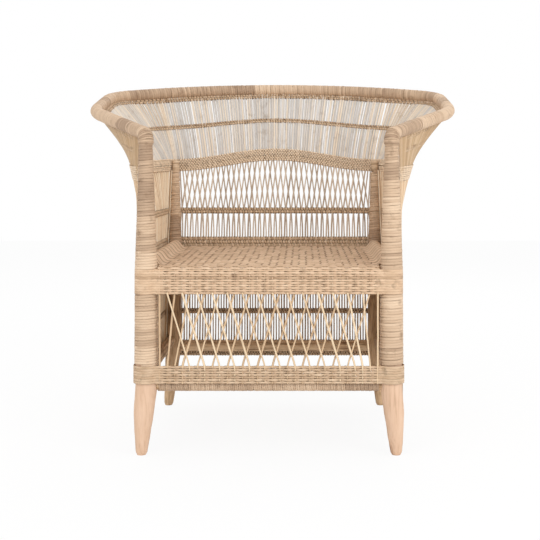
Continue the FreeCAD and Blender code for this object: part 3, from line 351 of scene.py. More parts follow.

# %% [markdown]
# The strips round the poles are greyer than the canes. The canes of the back are weathered, those of the
# sides are fresh. The sides' pith is pale on its own and is painted paler still, as painted light for the
# inner faces of the side walls, which lie in shade. In the collar the pith is painted grey, as painted shade
# where light falls through it.

# %% Cane colours
wrap_paint = cane_finish(
    "wrap_cane", [(0.0, 176, 148, 123), (0.45, 209, 180, 151), (1.0, 233, 206, 177)], (126, 97, 72), 0.38)
pale_paint = cane_finish(
    "pale_cane", [(0.0, 188, 156, 122), (0.5, 222, 192, 156), (1.0, 240, 216, 182)], (150, 116, 84), 0.25)
back_paint = cane_finish(
    "back_cane", [(0.0, 178, 160, 142), (0.5, 212, 195, 176), (1.0, 236, 221, 203)], (150, 122, 94), 0.25)
SIDE_SKIN = [(0.0, 196, 164, 130), (0.5, 228, 197, 161), (1.0, 243, 218, 186)]
COLLAR_SKIN = [(0.0, 170, 139, 106), (0.5, 198, 167, 131), (1.0, 218, 191, 158)]
# The side canes' pith is paler on its own; its colours are raised further as painted light for the inner
# faces of the side walls, which lie in shade.
side_paint = cane_finish("side_cane", SIDE_SKIN, (172, 138, 104), 0.25, pith=[
    (0.0, 228, 198, 164), (0.5, 253, 232, 203), (1.0, 255, 246, 226)])
# The grey of the collar's pith is painted shade, for the dim light that falls through the collar.
collar_paint = cane_finish("collar_cane", COLLAR_SKIN, (172, 150, 126), 0.25, pith=[
    (0.0, 196, 193, 190), (0.5, 225, 219, 212), (1.0, 250, 234, 212)])
# The fill splits' grey pith is painted shade behind the collar's gaps.
fill_paint = cane_finish("fill_cane", COLLAR_SKIN, (176, 164, 150), 0.2, pith=[
    (0.0, 196, 193, 190), (0.5, 212, 209, 206), (1.0, 230, 227, 224)])
tip_paint = cane_finish("tip_cane", COLLAR_SKIN, (176, 156, 134), 0.2, pith=[
    (0.0, 205, 190, 173), (0.5, 224, 207, 186), (1.0, 242, 225, 202)])
print("cane finishes", [paint.name for paint in bpy.data.materials if "cane" in paint.name])

# %% [markdown]
# Where a band's strand passes in between two canes it lies in shade, and the finish paints that shade. The
# path of such a strand counts the canes it has passed, so the finish can find those places: half way between
# two counts.

# %% Band finish
DIVE_SHADE = 0.75


def dive_shade(net):
    """Mask of painted shade at the places where a strand passes in between two canes."""
    beat = net.math("COSINE", number(net, "stake") * math.pi)
    return (1.0 - net.span(abs(beat), 0.15, 0.65)) * DIVE_SHADE


band_paint = cane_finish(
    "band_cane", [(0.0, 172, 142, 112), (0.5, 216, 187, 155), (1.0, 242, 217, 188)], (92, 68, 47), 0.5,
    marks=dive_shade)
print("band finish", band_paint.name)

# %% [markdown]
# The feet and rails are peeled branches. Their grain runs along the pole, so the noise is
# stretched that way, and knots come from a cell pattern: near a cell's middle the grain bends
# round it in rings and the wood turns dark.

# %% Bare wood and steel
FOOT_PALE_LEVELS = (0.12, 0.24)
KNOT_CELLS, KNOT_REACH, KNOT_RINGS, KNOT_BEND = (19.0, 19.0, 9.0), 0.42, 60.0, 1.6
GRAIN_SHARE, PATCH_SHARE, RING_SHARE = 0.75, 0.3, 0.12


def wood_finish(name, shades, knot, stretch, knot_share, lift=0.0, foot_lift=0.0):
    """Peeled branch wood with grain along one axis and knots; a lift makes it, or its foot, paler."""
    material, net, shader = finish(name, 0.7, 0.22)
    place = own_place(net)
    cells = net.node("ShaderNodeTexVoronoi", {
        "Vector": net.vector("MULTIPLY", place, KNOT_CELLS), "Scale": 1.0})
    distance, mark = (Value(net, cells.outputs[key]) for key in ("Distance", "Color"))
    chosen = net.math("LESS_THAN", net.out("ShaderNodeSeparateColor", {0: mark}), knot_share)
    knotty = (1.0 - net.span(distance, 0.0, KNOT_REACH)) * chosen
    rings = net.math("SINE", distance * KNOT_RINGS)
    bent = net.vector("ADD", net.vector("MULTIPLY", place, stretch),
                      net.joined(knotty * KNOT_BEND, knotty, 0.0))
    grain = net.noise(bent, 1.0, 5.0, 0.62, 0.7)
    patch = net.noise(place, 14.0, 2.0)
    level = grain * GRAIN_SHARE + patch * PATCH_SHARE + rings * knotty * RING_SHARE
    # Paler towards the floor, by the foot lift.
    near_floor = 1.0 - net.span(net.parts(place)[2], *FOOT_PALE_LEVELS)
    base = ramp(net, level + lift + near_floor * foot_lift, shades)
    shade = mixed(net, net.math("POWER", knotty, 3.0), base, colour(*knot))
    surfaced(net, shader, shade, 0.4, 0.0012, grain)
    return material


ALONG_X, ALONG_Y, ALONG_Z = (9.0, 150.0, 150.0), (150.0, 9.0, 150.0), (150.0, 150.0, 9.0)
FOOT_SHADES = [(0.25, 188, 150, 122), (0.5, 224, 189, 160), (0.8, 238, 206, 180)]
DARK_SHADES = [(0.34, 92, 67, 45), (0.5, 164, 131, 98), (0.66, 212, 179, 142)]
CROSS_SHADES = [(0.4, 84, 58, 37), (0.52, 166, 132, 99), (0.66, 226, 195, 158)]
DARK_KNOT = (48, 32, 20)
foot_paint = wood_finish("post_wood", FOOT_SHADES, (148, 104, 76), ALONG_Z, 0.12)
dark_post_paint = wood_finish("dark_wood_posts", DARK_SHADES, DARK_KNOT, ALONG_Z, 0.5, 0.0, 0.1)
dark_cross_paint = wood_finish("dark_wood_cross", CROSS_SHADES, DARK_KNOT, ALONG_X, 0.45, 0.08)
dark_side_paint = wood_finish("dark_wood_side", DARK_SHADES, DARK_KNOT, ALONG_Y, 0.35)

steel_paint, net, shader = finish("nail_steel", 0.5)
rust = net.noise(own_place(net), 380.0, 3.0)
net.link(ramp(net, rust, [(0.35, 118, 116, 112), (0.7, 104, 78, 58)]), shader.inputs["Base Color"])
shader.inputs["Metallic"].default_value = 0.7
print("wood and steel finishes ready")

# %% [markdown]
# ## Paths and trees
# A piece starts as a mesh of loose edges: one chain of points per cane, with numbers kept at each
# point. A tree reads the chains as curves and sweeps, winds or weaves a cane along them. The
# result is kept as a plain mesh, because instances and live modifiers would not survive export.

# %% A tree with named sizes


class Recipe(Net):
    """A Geometry Nodes tree with named sizes."""

    def __init__(self, name, sizes):
        super().__init__(bpy.data.node_groups.new(name, "GeometryNodeTree"))
        face = self.tree.interface
        face.new_socket("Geometry", in_out="INPUT", socket_type="NodeSocketGeometry")
        for label in sizes:
            face.new_socket(label, in_out="INPUT", socket_type="NodeSocketFloat")
        face.new_socket("Finish", in_out="INPUT", socket_type="NodeSocketMaterial")
        face.new_socket("Geometry", in_out="OUTPUT", socket_type="NodeSocketGeometry")
        given = self.tree.nodes.new("NodeGroupInput").outputs
        self.size = {socket.name: Value(self, socket) for socket in given}

    def curve(self, step=None):
        """The path's chains as curves, cut into equal steps if a step is given."""
        curve = self.out("GeometryNodeMeshToCurve", {"Mesh": self.size["Geometry"]})
        if step is None:
            return curve
        return self.out("GeometryNodeResampleCurve", {"Curve": curve, "Length": step}, mode="LENGTH")

    def along(self):
        return self.out("GeometryNodeSplineParameter", key="Length")

    def place(self):
        return self.out("GeometryNodeInputPosition")

    def normal(self):
        return self.out("GeometryNodeInputNormal")

    def kept(self, name, kind="FLOAT"):
        """A value kept at each point of the path."""
        return self.out("GeometryNodeInputNamedAttribute", {"Name": name}, "Attribute", data_type=kind)

    def way(self, name):
        """A direction kept at each point of the path."""
        return self.kept(name, "FLOAT_VECTOR")

    def keep(self, geometry, name, value, kind="FLOAT"):
        """Keep a value at each point."""
        inputs = {"Geometry": geometry, "Name": name, "Value": value}
        return self.out("GeometryNodeStoreNamedAttribute", inputs, data_type=kind)

    def wander(self, along, rate):
        """Smooth random number from -0.5 to 0.5 along a length."""
        inputs = {"W": along, "Scale": rate, "Detail": 1.0}
        return self.out("ShaderNodeTexNoise", inputs, noise_dimensions="1D") - 0.5

    def ellipse(self, sides, thick, wide, squareness):
        """Cross-section of a strip; it keeps the place across it."""
        ring = self.out("GeometryNodeCurvePrimitiveCircle", {"Resolution": sides, "Radius": 1.0}, "Curve")
        fuller = [self.math("POWER", abs(part), squareness) * self.math("SIGN", part)
                  for part in self.parts(self.place())[:2]]
        curve = self.keep(ring, "across", fuller[1])
        shape = self.joined(fuller[0] * (thick * 0.5), fuller[1] * (wide * 0.5), 0.0)
        return self.moved(curve, Position=shape)

    def moved(self, geometry, **places):
        return self.out("GeometryNodeSetPosition", dict(places, Geometry=geometry))

    def turned(self, curve, normal):
        """Turn the flat side of a strip towards a direction."""
        return self.out("GeometryNodeSetCurveNormal", {"Curve": curve, "Normal": normal}, mode="FREE")

    def swept(self, curve, profile, scale=1.0):
        """Tube or strip along a curve, closed at its ends."""
        return self.out("GeometryNodeCurveToMesh", {
            "Curve": curve, "Profile Curve": profile, "Scale": scale, "Fill Caps": True})

    def close(self, mesh):
        """Smooth the result, make it real and give it its finish."""
        smooth = self.out("GeometryNodeSetShadeSmooth", {"Geometry": mesh})
        real = self.out("GeometryNodeRealizeInstances", {"Geometry": smooth})
        done = self.out("GeometryNodeSetMaterial", {"Geometry": real, "Material": self.size["Finish"]})
        self.node("NodeGroupOutput", {0: done})
        return self.tree


print("trees can be written")

# %% [markdown]
# The chains go into one mesh for each piece. A tree is run on it as a modifier, its sizes are set
# by the sockets' identifiers, and the evaluated result becomes the piece.

# %% From paths to pieces


def path_object(lines, **values):
    """Mesh of loose edges, one chain per line; values hold a number or a vector for each point."""
    points = [point for line in lines for point in line]
    edges = []
    begin = 0
    for line in lines:
        edges += [(begin + i, begin + i + 1) for i in range(len(line) - 1)]
        begin += len(line)
    mesh = bpy.data.meshes.new("path")
    mesh.from_pydata(points, edges, [])
    for name, rows in values.items():
        flat = [item for row in rows for item in row]
        if isinstance(flat[0], Vector):
            kept = mesh.attributes.new(name, "FLOAT_VECTOR", "POINT")
            kept.data.foreach_set("vector", [part for item in flat for part in item])
        else:
            kept = mesh.attributes.new(name, "FLOAT", "POINT")
            kept.data.foreach_set("value", flat)
    return added("path", mesh)


triangle_count = {}


def grow(name, tree, path, slot, node, paint, **sizes):
    """Run a tree on a path, keep the result as a plain mesh and tie it to the model."""
    modifier = path.modifiers.new("cane", "NODES")
    modifier.node_group = tree
    wanted = dict(sizes, Finish=paint)
    for item in tree.interface.items_tree:
        if item.in_out == "INPUT" and item.name in wanted:
            modifier[item.identifier] = wanted[item.name]
    graph = bpy.context.evaluated_depsgraph_get()
    mesh = bpy.data.meshes.new_from_object(path.evaluated_get(graph), depsgraph=graph)
    mesh.name = name
    bpy.data.objects.remove(path)
    piece = added(name, mesh)
    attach(piece, "root")
    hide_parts(node)
    triangle_count[name] = sum(len(face.vertices) - 2 for face in mesh.polygons)


def counted(word):
    """Triangles of the pieces whose names hold a word."""
    return {name: count for name, count in triangle_count.items() if word in name}


print("paths can grow into pieces")

# %% [markdown]
# A wound pole is one strip that climbs round it, turn by turn. The tree resamples the pole's axis
# finely, pushes each point out to the pole's radius while the angle runs on, and sweeps a flat
# strip along that helix with its face turned outwards. The tone changes where a new strip was
# laid in, and a slow wander lets neighbouring turns crowd or part a little. A tilt leans the strip
# so that each turn lies on the edge of the one before, like shingles.

# %% Tree: wound strip
STEPS_PER_TURN = 18
STRIP_SIDES, STRIP_SQUARENESS = 8, 0.62
SEED_TURNS, SEED_TONES = 31.7, 7.3
JOIN_RATE, TONE_RATE, LIFT_RATE, SLIDE_RATE = 0.23, 0.9, 0.71, 1.37
TONE_SHARE, TONE_LOW, TONE_DRIFT, SLIDE_SHARE = 0.85, 0.08, 0.8, 0.5


def wound_strip():
    net = Recipe("Wound strip", ["Pitch", "Thickness", "Overlap", "Section", "Seed", "Tilt"])
    size = net.size
    path = net.curve(size["Pitch"] / STEPS_PER_TURN)
    along = net.along()
    turns = along / size["Pitch"] + size["Seed"] * SEED_TURNS
    angle = turns * (2 * math.pi)
    tangent, normal = net.out("GeometryNodeInputTangent"), net.normal()
    side = net.vector("CROSS_PRODUCT", tangent, normal)
    out = net.vector("ADD", net.scaled(normal, net.math("COSINE", angle)),
                     net.scaled(side, net.math("SINE", angle)))
    path = net.keep(path, "out", out, "FLOAT_VECTOR")
    path = net.keep(path, "ahead", tangent, "FLOAT_VECTOR")
    path = net.keep(path, "run", angle * net.kept("reach"))
    drift = net.wander(turns, JOIN_RATE) * size["Section"]
    section = net.math("FLOOR", (along + drift) / size["Section"])
    strip = net.random("1D", W=section + size["Seed"] * SEED_TONES)
    tone = strip * TONE_SHARE + TONE_LOW + net.wander(turns, TONE_RATE) * TONE_DRIFT
    path = net.keep(path, "tone", tone + net.kept("shade"))
    lift = (net.wander(turns, LIFT_RATE) + 1.0) * 0.5
    reach = net.kept("reach") + size["Thickness"] * lift
    slide = net.wander(turns, SLIDE_RATE) * (size["Pitch"] * SLIDE_SHARE)
    path = net.moved(path, Offset=net.vector("ADD", net.scaled(net.way("out"), reach),
                                             net.scaled(tangent, slide)))
    path = net.turned(path, net.vector("ADD", net.way("out"), net.scaled(net.way("ahead"), size["Tilt"])))
    strip = net.ellipse(STRIP_SIDES, size["Thickness"], size["Pitch"] * size["Overlap"], STRIP_SQUARENESS)
    return net.close(net.swept(path, strip))


wound_tree = wound_strip()
print("wound strip tree:", len(wound_tree.nodes), "nodes")

# %% [markdown]
# A standing cane is a thin round rod that is never quite straight. Its tree only adds a slow
# wobble and sweeps a circle whose size is kept along the path, so canes differ in girth.

# %% Tree: cane
WOBBLE_RATE = 14.0


def cane_rod():
    net = Recipe("Cane", ["Wobble", "Sides"])
    path = net.keep(net.curve(), "run", net.along())
    place = net.vector("ADD", net.place(), net.joined(0.0, 0.0, net.kept("tone")))
    shake = net.vector("SUBTRACT", net.noise(place, WOBBLE_RATE, 1.0, key="Color"), (0.5, 0.5, 0.5))
    path = net.moved(path, Offset=net.scaled(shake, net.size["Wobble"]))
    mesh = net.swept(path, net.ellipse(net.size["Sides"], 2.0, 2.0, 1.0), net.kept("girth"))
    skin = net.vector("DOT_PRODUCT", net.normal(), net.way("face"), "Value")
    return net.close(net.keep(mesh, "skin", skin))


cane_tree = cane_rod()
print("cane tree:", len(cane_tree.nodes), "nodes")

# %% [markdown]
# A weaver is a flat strand that passes in front of one stake and behind the next. The path keeps
# which way the work faces, which way is up on it and a count of the stakes, so a cosine of that
# count moves the strand in and out; a gain squares that wave and a bias keeps the strand in front
# for longer. Twined rows use two strands half a turn apart with a small rise, which gives their
# slanted stitches.

# %% Tree: weaver
STRAND_SQUARENESS = 0.8
TONE_STEP, UNEVEN_RATE, UNEVEN_TONE, UNEVEN_RISE = 53.0, 31.0, 0.7, 0.3


def weaver():
    net = Recipe("Weaver", ["Step", "Depth", "Lift", "Width", "Thickness", "Sides", "Gain", "Bias"])
    size = net.size
    path = net.curve(size["Step"])
    along = net.along()
    path = net.keep(path, "run", along)
    uneven = net.wander(along + net.kept("tone") * TONE_STEP, UNEVEN_RATE)
    path = net.keep(path, "tone", net.kept("tone") + uneven * UNEVEN_TONE)
    beat = net.kept("stake") * math.pi
    wave = net.math("COSINE", beat) * size["Gain"] + size["Bias"]
    wave = net.math("MINIMUM", net.math("MAXIMUM", wave, -1.0), 1.0)
    deep = wave * (size["Depth"] * net.kept("sway"))
    high = net.math("SINE", beat) * (size["Lift"] * net.kept("sway"))
    high = high + uneven * (size["Width"] * UNEVEN_RISE)
    face = net.way("face")
    offset = net.vector("ADD", net.scaled(face, deep), net.scaled(net.way("rise"), high))
    path = net.moved(path, Offset=offset)
    strand = net.ellipse(size["Sides"], size["Thickness"], size["Width"], STRAND_SQUARENESS)
    return net.close(net.swept(net.turned(path, face), strand))


weaver_tree = weaver()
print("weaver tree:", len(weaver_tree.nodes), "nodes")

# %% [markdown]
# Bare poles are hewn branches: round, tapering and slightly lumpy. A coarse noise dents the swept
# tube along its normals so that light breaks on it as on carved wood. The soles stay flat.

# %% Tree: hewn pole
HEWN_STEP = 0.006
HEWN_SIDES = 26
SOLE_FLAT = (0.003, 0.02)


def hewn_pole():
    net = Recipe("Hewn pole", ["Dents", "Grain"])
    mesh = net.swept(net.curve(HEWN_STEP), net.ellipse(HEWN_SIDES, 2.0, 2.0, 1.0), net.kept("reach"))
    place = net.place()
    x, y, z = net.parts(place)
    depth = (net.noise(place, net.size["Grain"], 2.0) - 0.5) * net.size["Dents"] * net.span(z, *SOLE_FLAT)
    mesh = net.moved(mesh, Offset=net.scaled(net.normal(), depth))
    level = z * net.math("GREATER_THAN", z, SOLE_FLAT[0])
    return net.close(net.moved(mesh, Position=net.joined(x, y, level)))


hewn_tree = hewn_pole()
print("hewn pole tree:", len(hewn_tree.nodes), "nodes")

# %% [markdown]
# ## The frame of poles
# Four posts carry everything. The front ones stand straight on carved feet that lean outwards.
# The rear ones lean back, stay bare below the seat and end in a thin tip at the wide band. The
# heights come from the model's boxes; the radius is worked out from one mark to the next.

# %% Sizes of the posts
SIDES = ((1, "right"), (-1, "left"))
POST_X, SEAT_RUN, SEAT_LEVEL, REAR_LEAN = 0.270, 0.480, 0.400, 0.079
FOOT_TOP, FOOT_SPLAY, SOLE_EDGE, TIP_EDGE = 0.150, 0.011, 0.0025, 0.003
FRONT_SOLE, FRONT_ANKLE, FRONT_BELLY = 0.0122, 0.0163, 0.0222
FRONT_SHOULDER, FRONT_WAIST, FRONT_NECK = 0.024, 0.0226, 0.0120
ANKLE_LEVEL, BELLY_LEVEL = 0.035, 0.092
REAR_SOLE, REAR_SHOULDER, REAR_WAIST, REAR_TIP = 0.0115, 0.0205, 0.017, 0.0065
WRAP, FIT, REST = 0.0025, 0.00015, 0.0003
front_low, front_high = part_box("front_right_post")
FRONT_Y, FRONT_TOP = (front_low.y + front_high.y) / 2, front_high.z
REAR_Y, REAR_TOP = FRONT_Y + SEAT_RUN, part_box("rear_right_post")[1].z


def mix(first, last, share):
    return first + (last - first) * share


def levels(low, high, count):
    """Evenly spaced numbers, both ends included."""
    return [mix(low, high, i / (count - 1)) for i in range(count)]


def smooth(share):
    """Eased climb from 0 to 1."""
    share = max(0.0, min(1.0, share))
    return share * share * (3 - 2 * share)


def taper(level, shoulder, waist, end, top):
    """Radius of a post above its foot."""
    if level < SEAT_LEVEL:
        return mix(shoulder, waist, (level - FOOT_TOP) / (SEAT_LEVEL - FOOT_TOP))
    return mix(waist, end, (level - SEAT_LEVEL) / (top - SEAT_LEVEL))


def front_bare(level):
    return taper(level, FRONT_SHOULDER, FRONT_WAIST, FRONT_NECK, FRONT_TOP)


def rear_bare(level):
    return taper(level, REAR_SHOULDER, REAR_WAIST, REAR_TIP, REAR_TOP)


def front_axis(level):
    return Vector((POST_X, FRONT_Y, level))


def rear_axis(level):
    return Vector((POST_X, REAR_Y + REAR_LEAN * level / REAR_TOP, level))


def mirrored(points, side):
    """The same points on the right side (1) or the left side (-1)."""
    return [Vector((side * point.x, point.y, point.z)) for point in points]


print("post tops", round(FRONT_TOP, 3), round(REAR_TOP, 3))

# %% [markdown]
# A post is one hewn pole. Its foot is listed ring by ring: a height, a share of the outward splay
# and a radius. Above the foot the pole follows its axis, so a height and a radius are enough.

# %% Posts
FRONT_FOOT = [(0.0, 1.0, FRONT_SOLE - SOLE_EDGE), (SOLE_EDGE, 1.0, FRONT_SOLE),
              (ANKLE_LEVEL, 0.85, FRONT_ANKLE), (BELLY_LEVEL, 0.55, FRONT_BELLY),
              (FOOT_TOP, 0.0, FRONT_SHOULDER)]
FRONT_POLE = [(SEAT_LEVEL, FRONT_WAIST), (FRONT_TOP, FRONT_NECK)]
REAR_FOOT = [(0.0, 1.0, REAR_SOLE - SOLE_EDGE), (SOLE_EDGE, 1.0, REAR_SOLE), (FOOT_TOP, 0.0, REAR_SHOULDER)]
REAR_POLE = [(SEAT_LEVEL, REAR_WAIST), (REAR_TOP - TIP_EDGE, REAR_TIP), (REAR_TOP, REAR_TIP * 0.6)]


def post(node, side, axis, foot, pole, slot, paint, dents, grain):
    points = [Vector((POST_X + FOOT_SPLAY * share, axis(level).y, level)) for level, share, _ in foot]
    points += [axis(level) for level, _ in pole]
    path = path_object([mirrored(points, side)], reach=[[ring[-1] for ring in foot + pole]])
    grow(node + "_wood", hewn_tree, path, slot, node, paint, Dents=dents, Grain=grain)


for side, word in SIDES:
    post("front_%s_post" % word, side, front_axis, FRONT_FOOT, FRONT_POLE,
         "post_wood", foot_paint, 0.0022, 38.0)
    post("rear_%s_post" % word, side, rear_axis, REAR_FOOT, REAR_POLE,
         "dark_wood", dark_post_paint, 0.004, 30.0)
print("posts", counted("post"))

# %% [markdown]
# The rails join the posts with round tenons that are hidden inside the wood, so here each rail is
# one pole from skin to skin. The rear bottom rail is the one that shows most: a knotty branch.
# The rim pole and the nails are kept as the model has them and only get a finish.

# %% Rails
RAIL_STEPS = 9


def rail(node, axis_index, paint):
    """Pole along the middle of a rail's box in the model."""
    low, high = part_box(node)
    radius = min(high[i] - low[i] for i in range(3) if i != axis_index) / 2
    points = []
    for place in levels(low[axis_index], high[axis_index], RAIL_STEPS):
        point = (low + high) / 2
        point[axis_index] = place
        points.append(point)
    path = path_object([points], reach=[[radius] * RAIL_STEPS])
    grow(node + "_wood", hewn_tree, path, "dark_wood", node, paint, Dents=0.003, Grain=34.0)


for node in ("rear_bottom_rail", "front_bottom_rail", "front_seat_rail", "rear_seat_rail"):
    rail(node, 0, dark_cross_paint)
for node in ("left_bottom_rail", "right_bottom_rail", "left_seat_rail", "right_seat_rail"):
    rail(node, 1, dark_side_paint)

for node, paint in (("rim_pole", dark_side_paint), ("frame_nails", steel_paint)):
    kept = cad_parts[node]
    kept.data.materials.clear()
    kept.data.materials.append(paint)
print("rails", counted("rail"))

# %% [markdown]
# ## The rim
# One pole is bent round the whole collar: straight out from the post at thirty degrees, round a
# wide bend, along the side, round the corner and along a flat bow behind the back. All of it lies
# in a plane that climbs to the back, so the path is worked out flat and then tilted.

# %% Rim path
RIM_RADIUS, RIM_DEPTH, RIM_WIDTH, RIM_BACK = 0.0124, 0.660, 0.440, 0.846
RIM_OUT = math.radians(30.0)
RIM_BEND, RIM_CORNER, RIM_BOW = 0.200, 0.095, 0.770
RIM_FRONT = FRONT_TOP + RIM_RADIUS + FIT
rim_slope = math.atan2(RIM_BACK - RIM_FRONT, RIM_DEPTH)


def line_stretch(first, last):
    """Length of a straight stretch and its points by share."""
    length = math.hypot(last[0] - first[0], last[1] - first[1])
    return length, lambda share: (mix(first[0], last[0], share), mix(first[1], last[1], share))


def arc_stretch(centre, radius, first, last):
    """Length of a bend and its points by share."""
    def point(share):
        angle = mix(first, last, share)
        return centre[0] + radius * math.cos(angle), centre[1] + radius * math.sin(angle)
    return radius * abs(last - first), point


def rim_stretches():
    """Right half of the rim in its own plane."""
    out = (RIM_WIDTH - POST_X - RIM_BEND * (1 - math.cos(RIM_OUT))) / math.sin(RIM_OUT)
    bend_at = (POST_X + out * math.sin(RIM_OUT), out * math.cos(RIM_OUT))
    bend_end = bend_at[1] + RIM_BEND * math.sin(RIM_OUT)
    bow_middle = RIM_DEPTH / math.cos(rim_slope) - RIM_BOW
    corner_x = RIM_WIDTH - RIM_CORNER
    corner_run = bow_middle + math.sqrt((RIM_BOW - RIM_CORNER) ** 2 - corner_x ** 2)
    turn = math.atan2(corner_run - bow_middle, corner_x)
    return [line_stretch((POST_X, 0.0), bend_at),
            arc_stretch((RIM_WIDTH - RIM_BEND, bend_end), RIM_BEND, -RIM_OUT, 0.0),
            line_stretch((RIM_WIDTH, bend_end), (RIM_WIDTH, corner_run)),
            arc_stretch((corner_x, corner_run), RIM_CORNER, 0.0, turn),
            arc_stretch((0.0, bow_middle), RIM_BOW, turn, math.pi / 2)]


RIM_HALF = rim_stretches()
rim_half_length = sum(length for length, _ in RIM_HALF)


def rim_at(distance):
    """Point of the rim's axis; past the middle of the back it comes round the left side."""
    side = 1 if distance <= rim_half_length else -1
    left = distance if side > 0 else 2 * rim_half_length - distance
    for length, point in RIM_HALF:
        if left <= length or point is RIM_HALF[-1][1]:
            x, run = point(min(1.0, left / length))
            break
        left -= length
    return Vector((side * x, FRONT_Y + run * math.cos(rim_slope), RIM_FRONT + run * math.sin(rim_slope)))


print("rim", round(2 * rim_half_length, 3), "m long")

# %% [markdown]
# ## Windings
# The posts are wound with flat strips about six millimetres wide. Where the seat's and the lower
# band's weavers pass round a front post, the winding stops. The rear posts are wound from the seat
# up, and tight ties close their tips.

# %% Wound posts
POST_PITCH, TIE_PITCH = 0.0060, 0.0040
POST_WINDINGS = ((0.1995, 0.3565), (0.407, 0.690))
REAR_WRAP_LOW, TIP_TIES = 0.4186, REAR_TOP - 0.031
SHADE_CLIMB = 0.2


def wound(name, node, lines, reaches, pitch, seed, section=0.04, overlap=1.08, shade=0.0, top_shade=0.0,
          tilt=0.0, paint=wrap_paint):
    """A winding along one or more axes; painted shade may darken it from the seat to the top."""
    shades = [[shade + top_shade * smooth((point.z - SEAT_LEVEL) / SHADE_CLIMB) for point in line]
              for line in lines]
    path = path_object(lines, reach=reaches, shade=shades)
    grow(name, wound_tree, path, "wrap_cane", node, paint, Pitch=pitch, Thickness=WRAP,
         Overlap=overlap, Section=section, Seed=seed, Tilt=tilt)


def wound_post(name, node, side, axis, bare, stretches, count, pitch, seed, **look):
    """Winding of a post over one or more stretches of its height."""
    heights = [levels(low, high, count) for low, high in stretches]
    lines = [mirrored([axis(z) for z in stretch], side) for stretch in heights]
    reaches = [[bare(z) + FIT for z in stretch] for stretch in heights]
    wound(name, node, lines, reaches, pitch, seed, **look)


# The front posts' tops carry painted shade, the left one much more than the right, for light that falls from
# the right.
for (side, word), seed, looser, top_shade in zip(SIDES, (3.0, 1.0), (1.03, 0.97), (-0.05, -0.28)):
    front, rear = "front_%s_" % word, "rear_%s_" % word
    wound_post(front + "winding", front + "wrap", side, front_axis, front_bare, POST_WINDINGS, 20,
               POST_PITCH * looser, seed, top_shade=top_shade)
    wound_post(rear + "winding", rear + "wrap", side, rear_axis, rear_bare, [(REAR_WRAP_LOW, TIP_TIES)],
               16, POST_PITCH, seed + 4.0, shade=-0.25)
    wound_post(rear + "tip_ties", rear + "wrap", side, rear_axis, rear_bare, [(TIP_TIES, REAR_TOP - 0.001)],
               6, TIE_PITCH, seed + 8.0, section=0.006, paint=band_paint)
print("post windings", counted("winding"))

# %% [markdown]
# Where rim and post meet, the strip goes on round a tight bend. On the outside of the bend the
# turns spread like a fan, so there they are laid at half the pitch and overlap on the inside.
# From there the rim is wound all the way round, and the front bottom rail in narrower turns.

# %% Wound rim, corners and rail
RIM_PITCH, RAIL_PITCH = 0.0063, 0.0046
ELBOW_RADIUS, ELBOW_FOOT, ELBOW_SWELL, ELBOW_GAP = 0.020, 0.684, 0.0022, 0.001
ELBOW_STEPS, RIM_STEPS, WRAP_STEPS = 14, 280, 41


def elbow():
    """Axis and radius of the winding from the post's top round a tight bend on to the rim."""
    corner = rim_at(0.0)
    ahead = (rim_at(0.03) - corner).normalized()
    down = Vector((0, 0, -1))
    between = down.angle(ahead)
    turn = math.pi - between
    begin = ELBOW_RADIUS * math.tan(turn / 2)
    middle = corner + (ahead + down).normalized() * (ELBOW_RADIUS / math.sin(between / 2))
    first, last = corner + down * begin - middle, corner + ahead * begin - middle
    points = [front_axis(z) for z in levels(ELBOW_FOOT, corner.z - begin - ELBOW_GAP, 5)]
    reach = [front_bare(point.z) + FIT + ELBOW_SWELL * i / 4 for i, point in enumerate(points)]
    for share in levels(0.0, 1.0, ELBOW_STEPS):
        way = (first * math.sin((1 - share) * turn) + last * math.sin(share * turn)) / math.sin(turn)
        points.append(middle + way)
        swell = ELBOW_SWELL * (1 - share ** 3)
        reach.append(mix(front_bare(FRONT_TOP), RIM_RADIUS, share) + FIT + swell)
    return points, reach, begin + ELBOW_GAP


elbow_points, elbow_reach, rim_begin = elbow()
distances = levels(rim_begin, 2 * rim_half_length - rim_begin, RIM_STEPS)
wound("rim_winding", "rim_wrap", [[rim_at(d) for d in distances]], [[RIM_RADIUS + FIT] * RIM_STEPS],
      RIM_PITCH, 5.0, section=0.06, shade=-0.12)
rail_low, rail_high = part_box("front_rail_wrap")
rail_y, rail_z = (rail_low.y + rail_high.y) / 2, (rail_low.z + rail_high.z) / 2
rail_points = [Vector((x, rail_y, rail_z)) for x in levels(rail_low.x, rail_high.x, WRAP_STEPS)]
wound("front_rail_winding", "front_rail_wrap", [rail_points],
      [[(rail_high.z - rail_low.z) / 2 - WRAP] * WRAP_STEPS], RAIL_PITCH, 6.0, section=0.07, shade=-0.2)

elbow_points += [rim_at(rim_begin + d) for d in (0.003, 0.006)]
elbow_reach += [RIM_RADIUS + FIT] * 2
for side, word in SIDES:
    wound(word + "_corner_winding", word + "_rim_binding", [mirrored(elbow_points, side)], [elbow_reach],
          RIM_PITCH * 0.5, 5.0, section=0.012, overlap=2.1, shade=-0.12, tilt=0.3)
print("other windings", counted("rim_w"), counted("rail_w"), counted("corner"))

# %% [markdown]
# ## The cane panel
# The sides and the back are one continuous wall. A place on it is a number v: 0 to 1 along the
# right side, 1 to 2 round the rear post, 2 to 3 to the middle of the back, then on to 6 mirrored.
# The wall bulges and leans more towards the top, and above the wide band it opens like a trumpet
# to the rim. Every cane and every band is a line drawn on this surface.

# %% Wall up to the wide band
WALL_MIDDLE, WALL_END = 3, 6
PANEL_START, CANE_RADIUS, STRIP = 0.0046, 0.0017, 0.0016
START_OUT, START_BACK = 0.8, 0.6
V_STEP, RISE_STEP = 0.004, 0.001
PANEL_HALF = 2 * CANE_RADIUS + FIT / 2
BAND_HALF = PANEL_HALF + FIT + STRIP
PANEL_FOOT, THIN_LEVEL, WIDE_LEVEL = 0.125, 0.512, REAR_TOP - 0.013
THIN_BULGE, WIDE_BULGE, WIDE_DROOP = 0.007, 0.047, 0.018
THIN_BOW, WIDE_BOW, WIDE_CROWN = 0.004, 0.014, 0.029


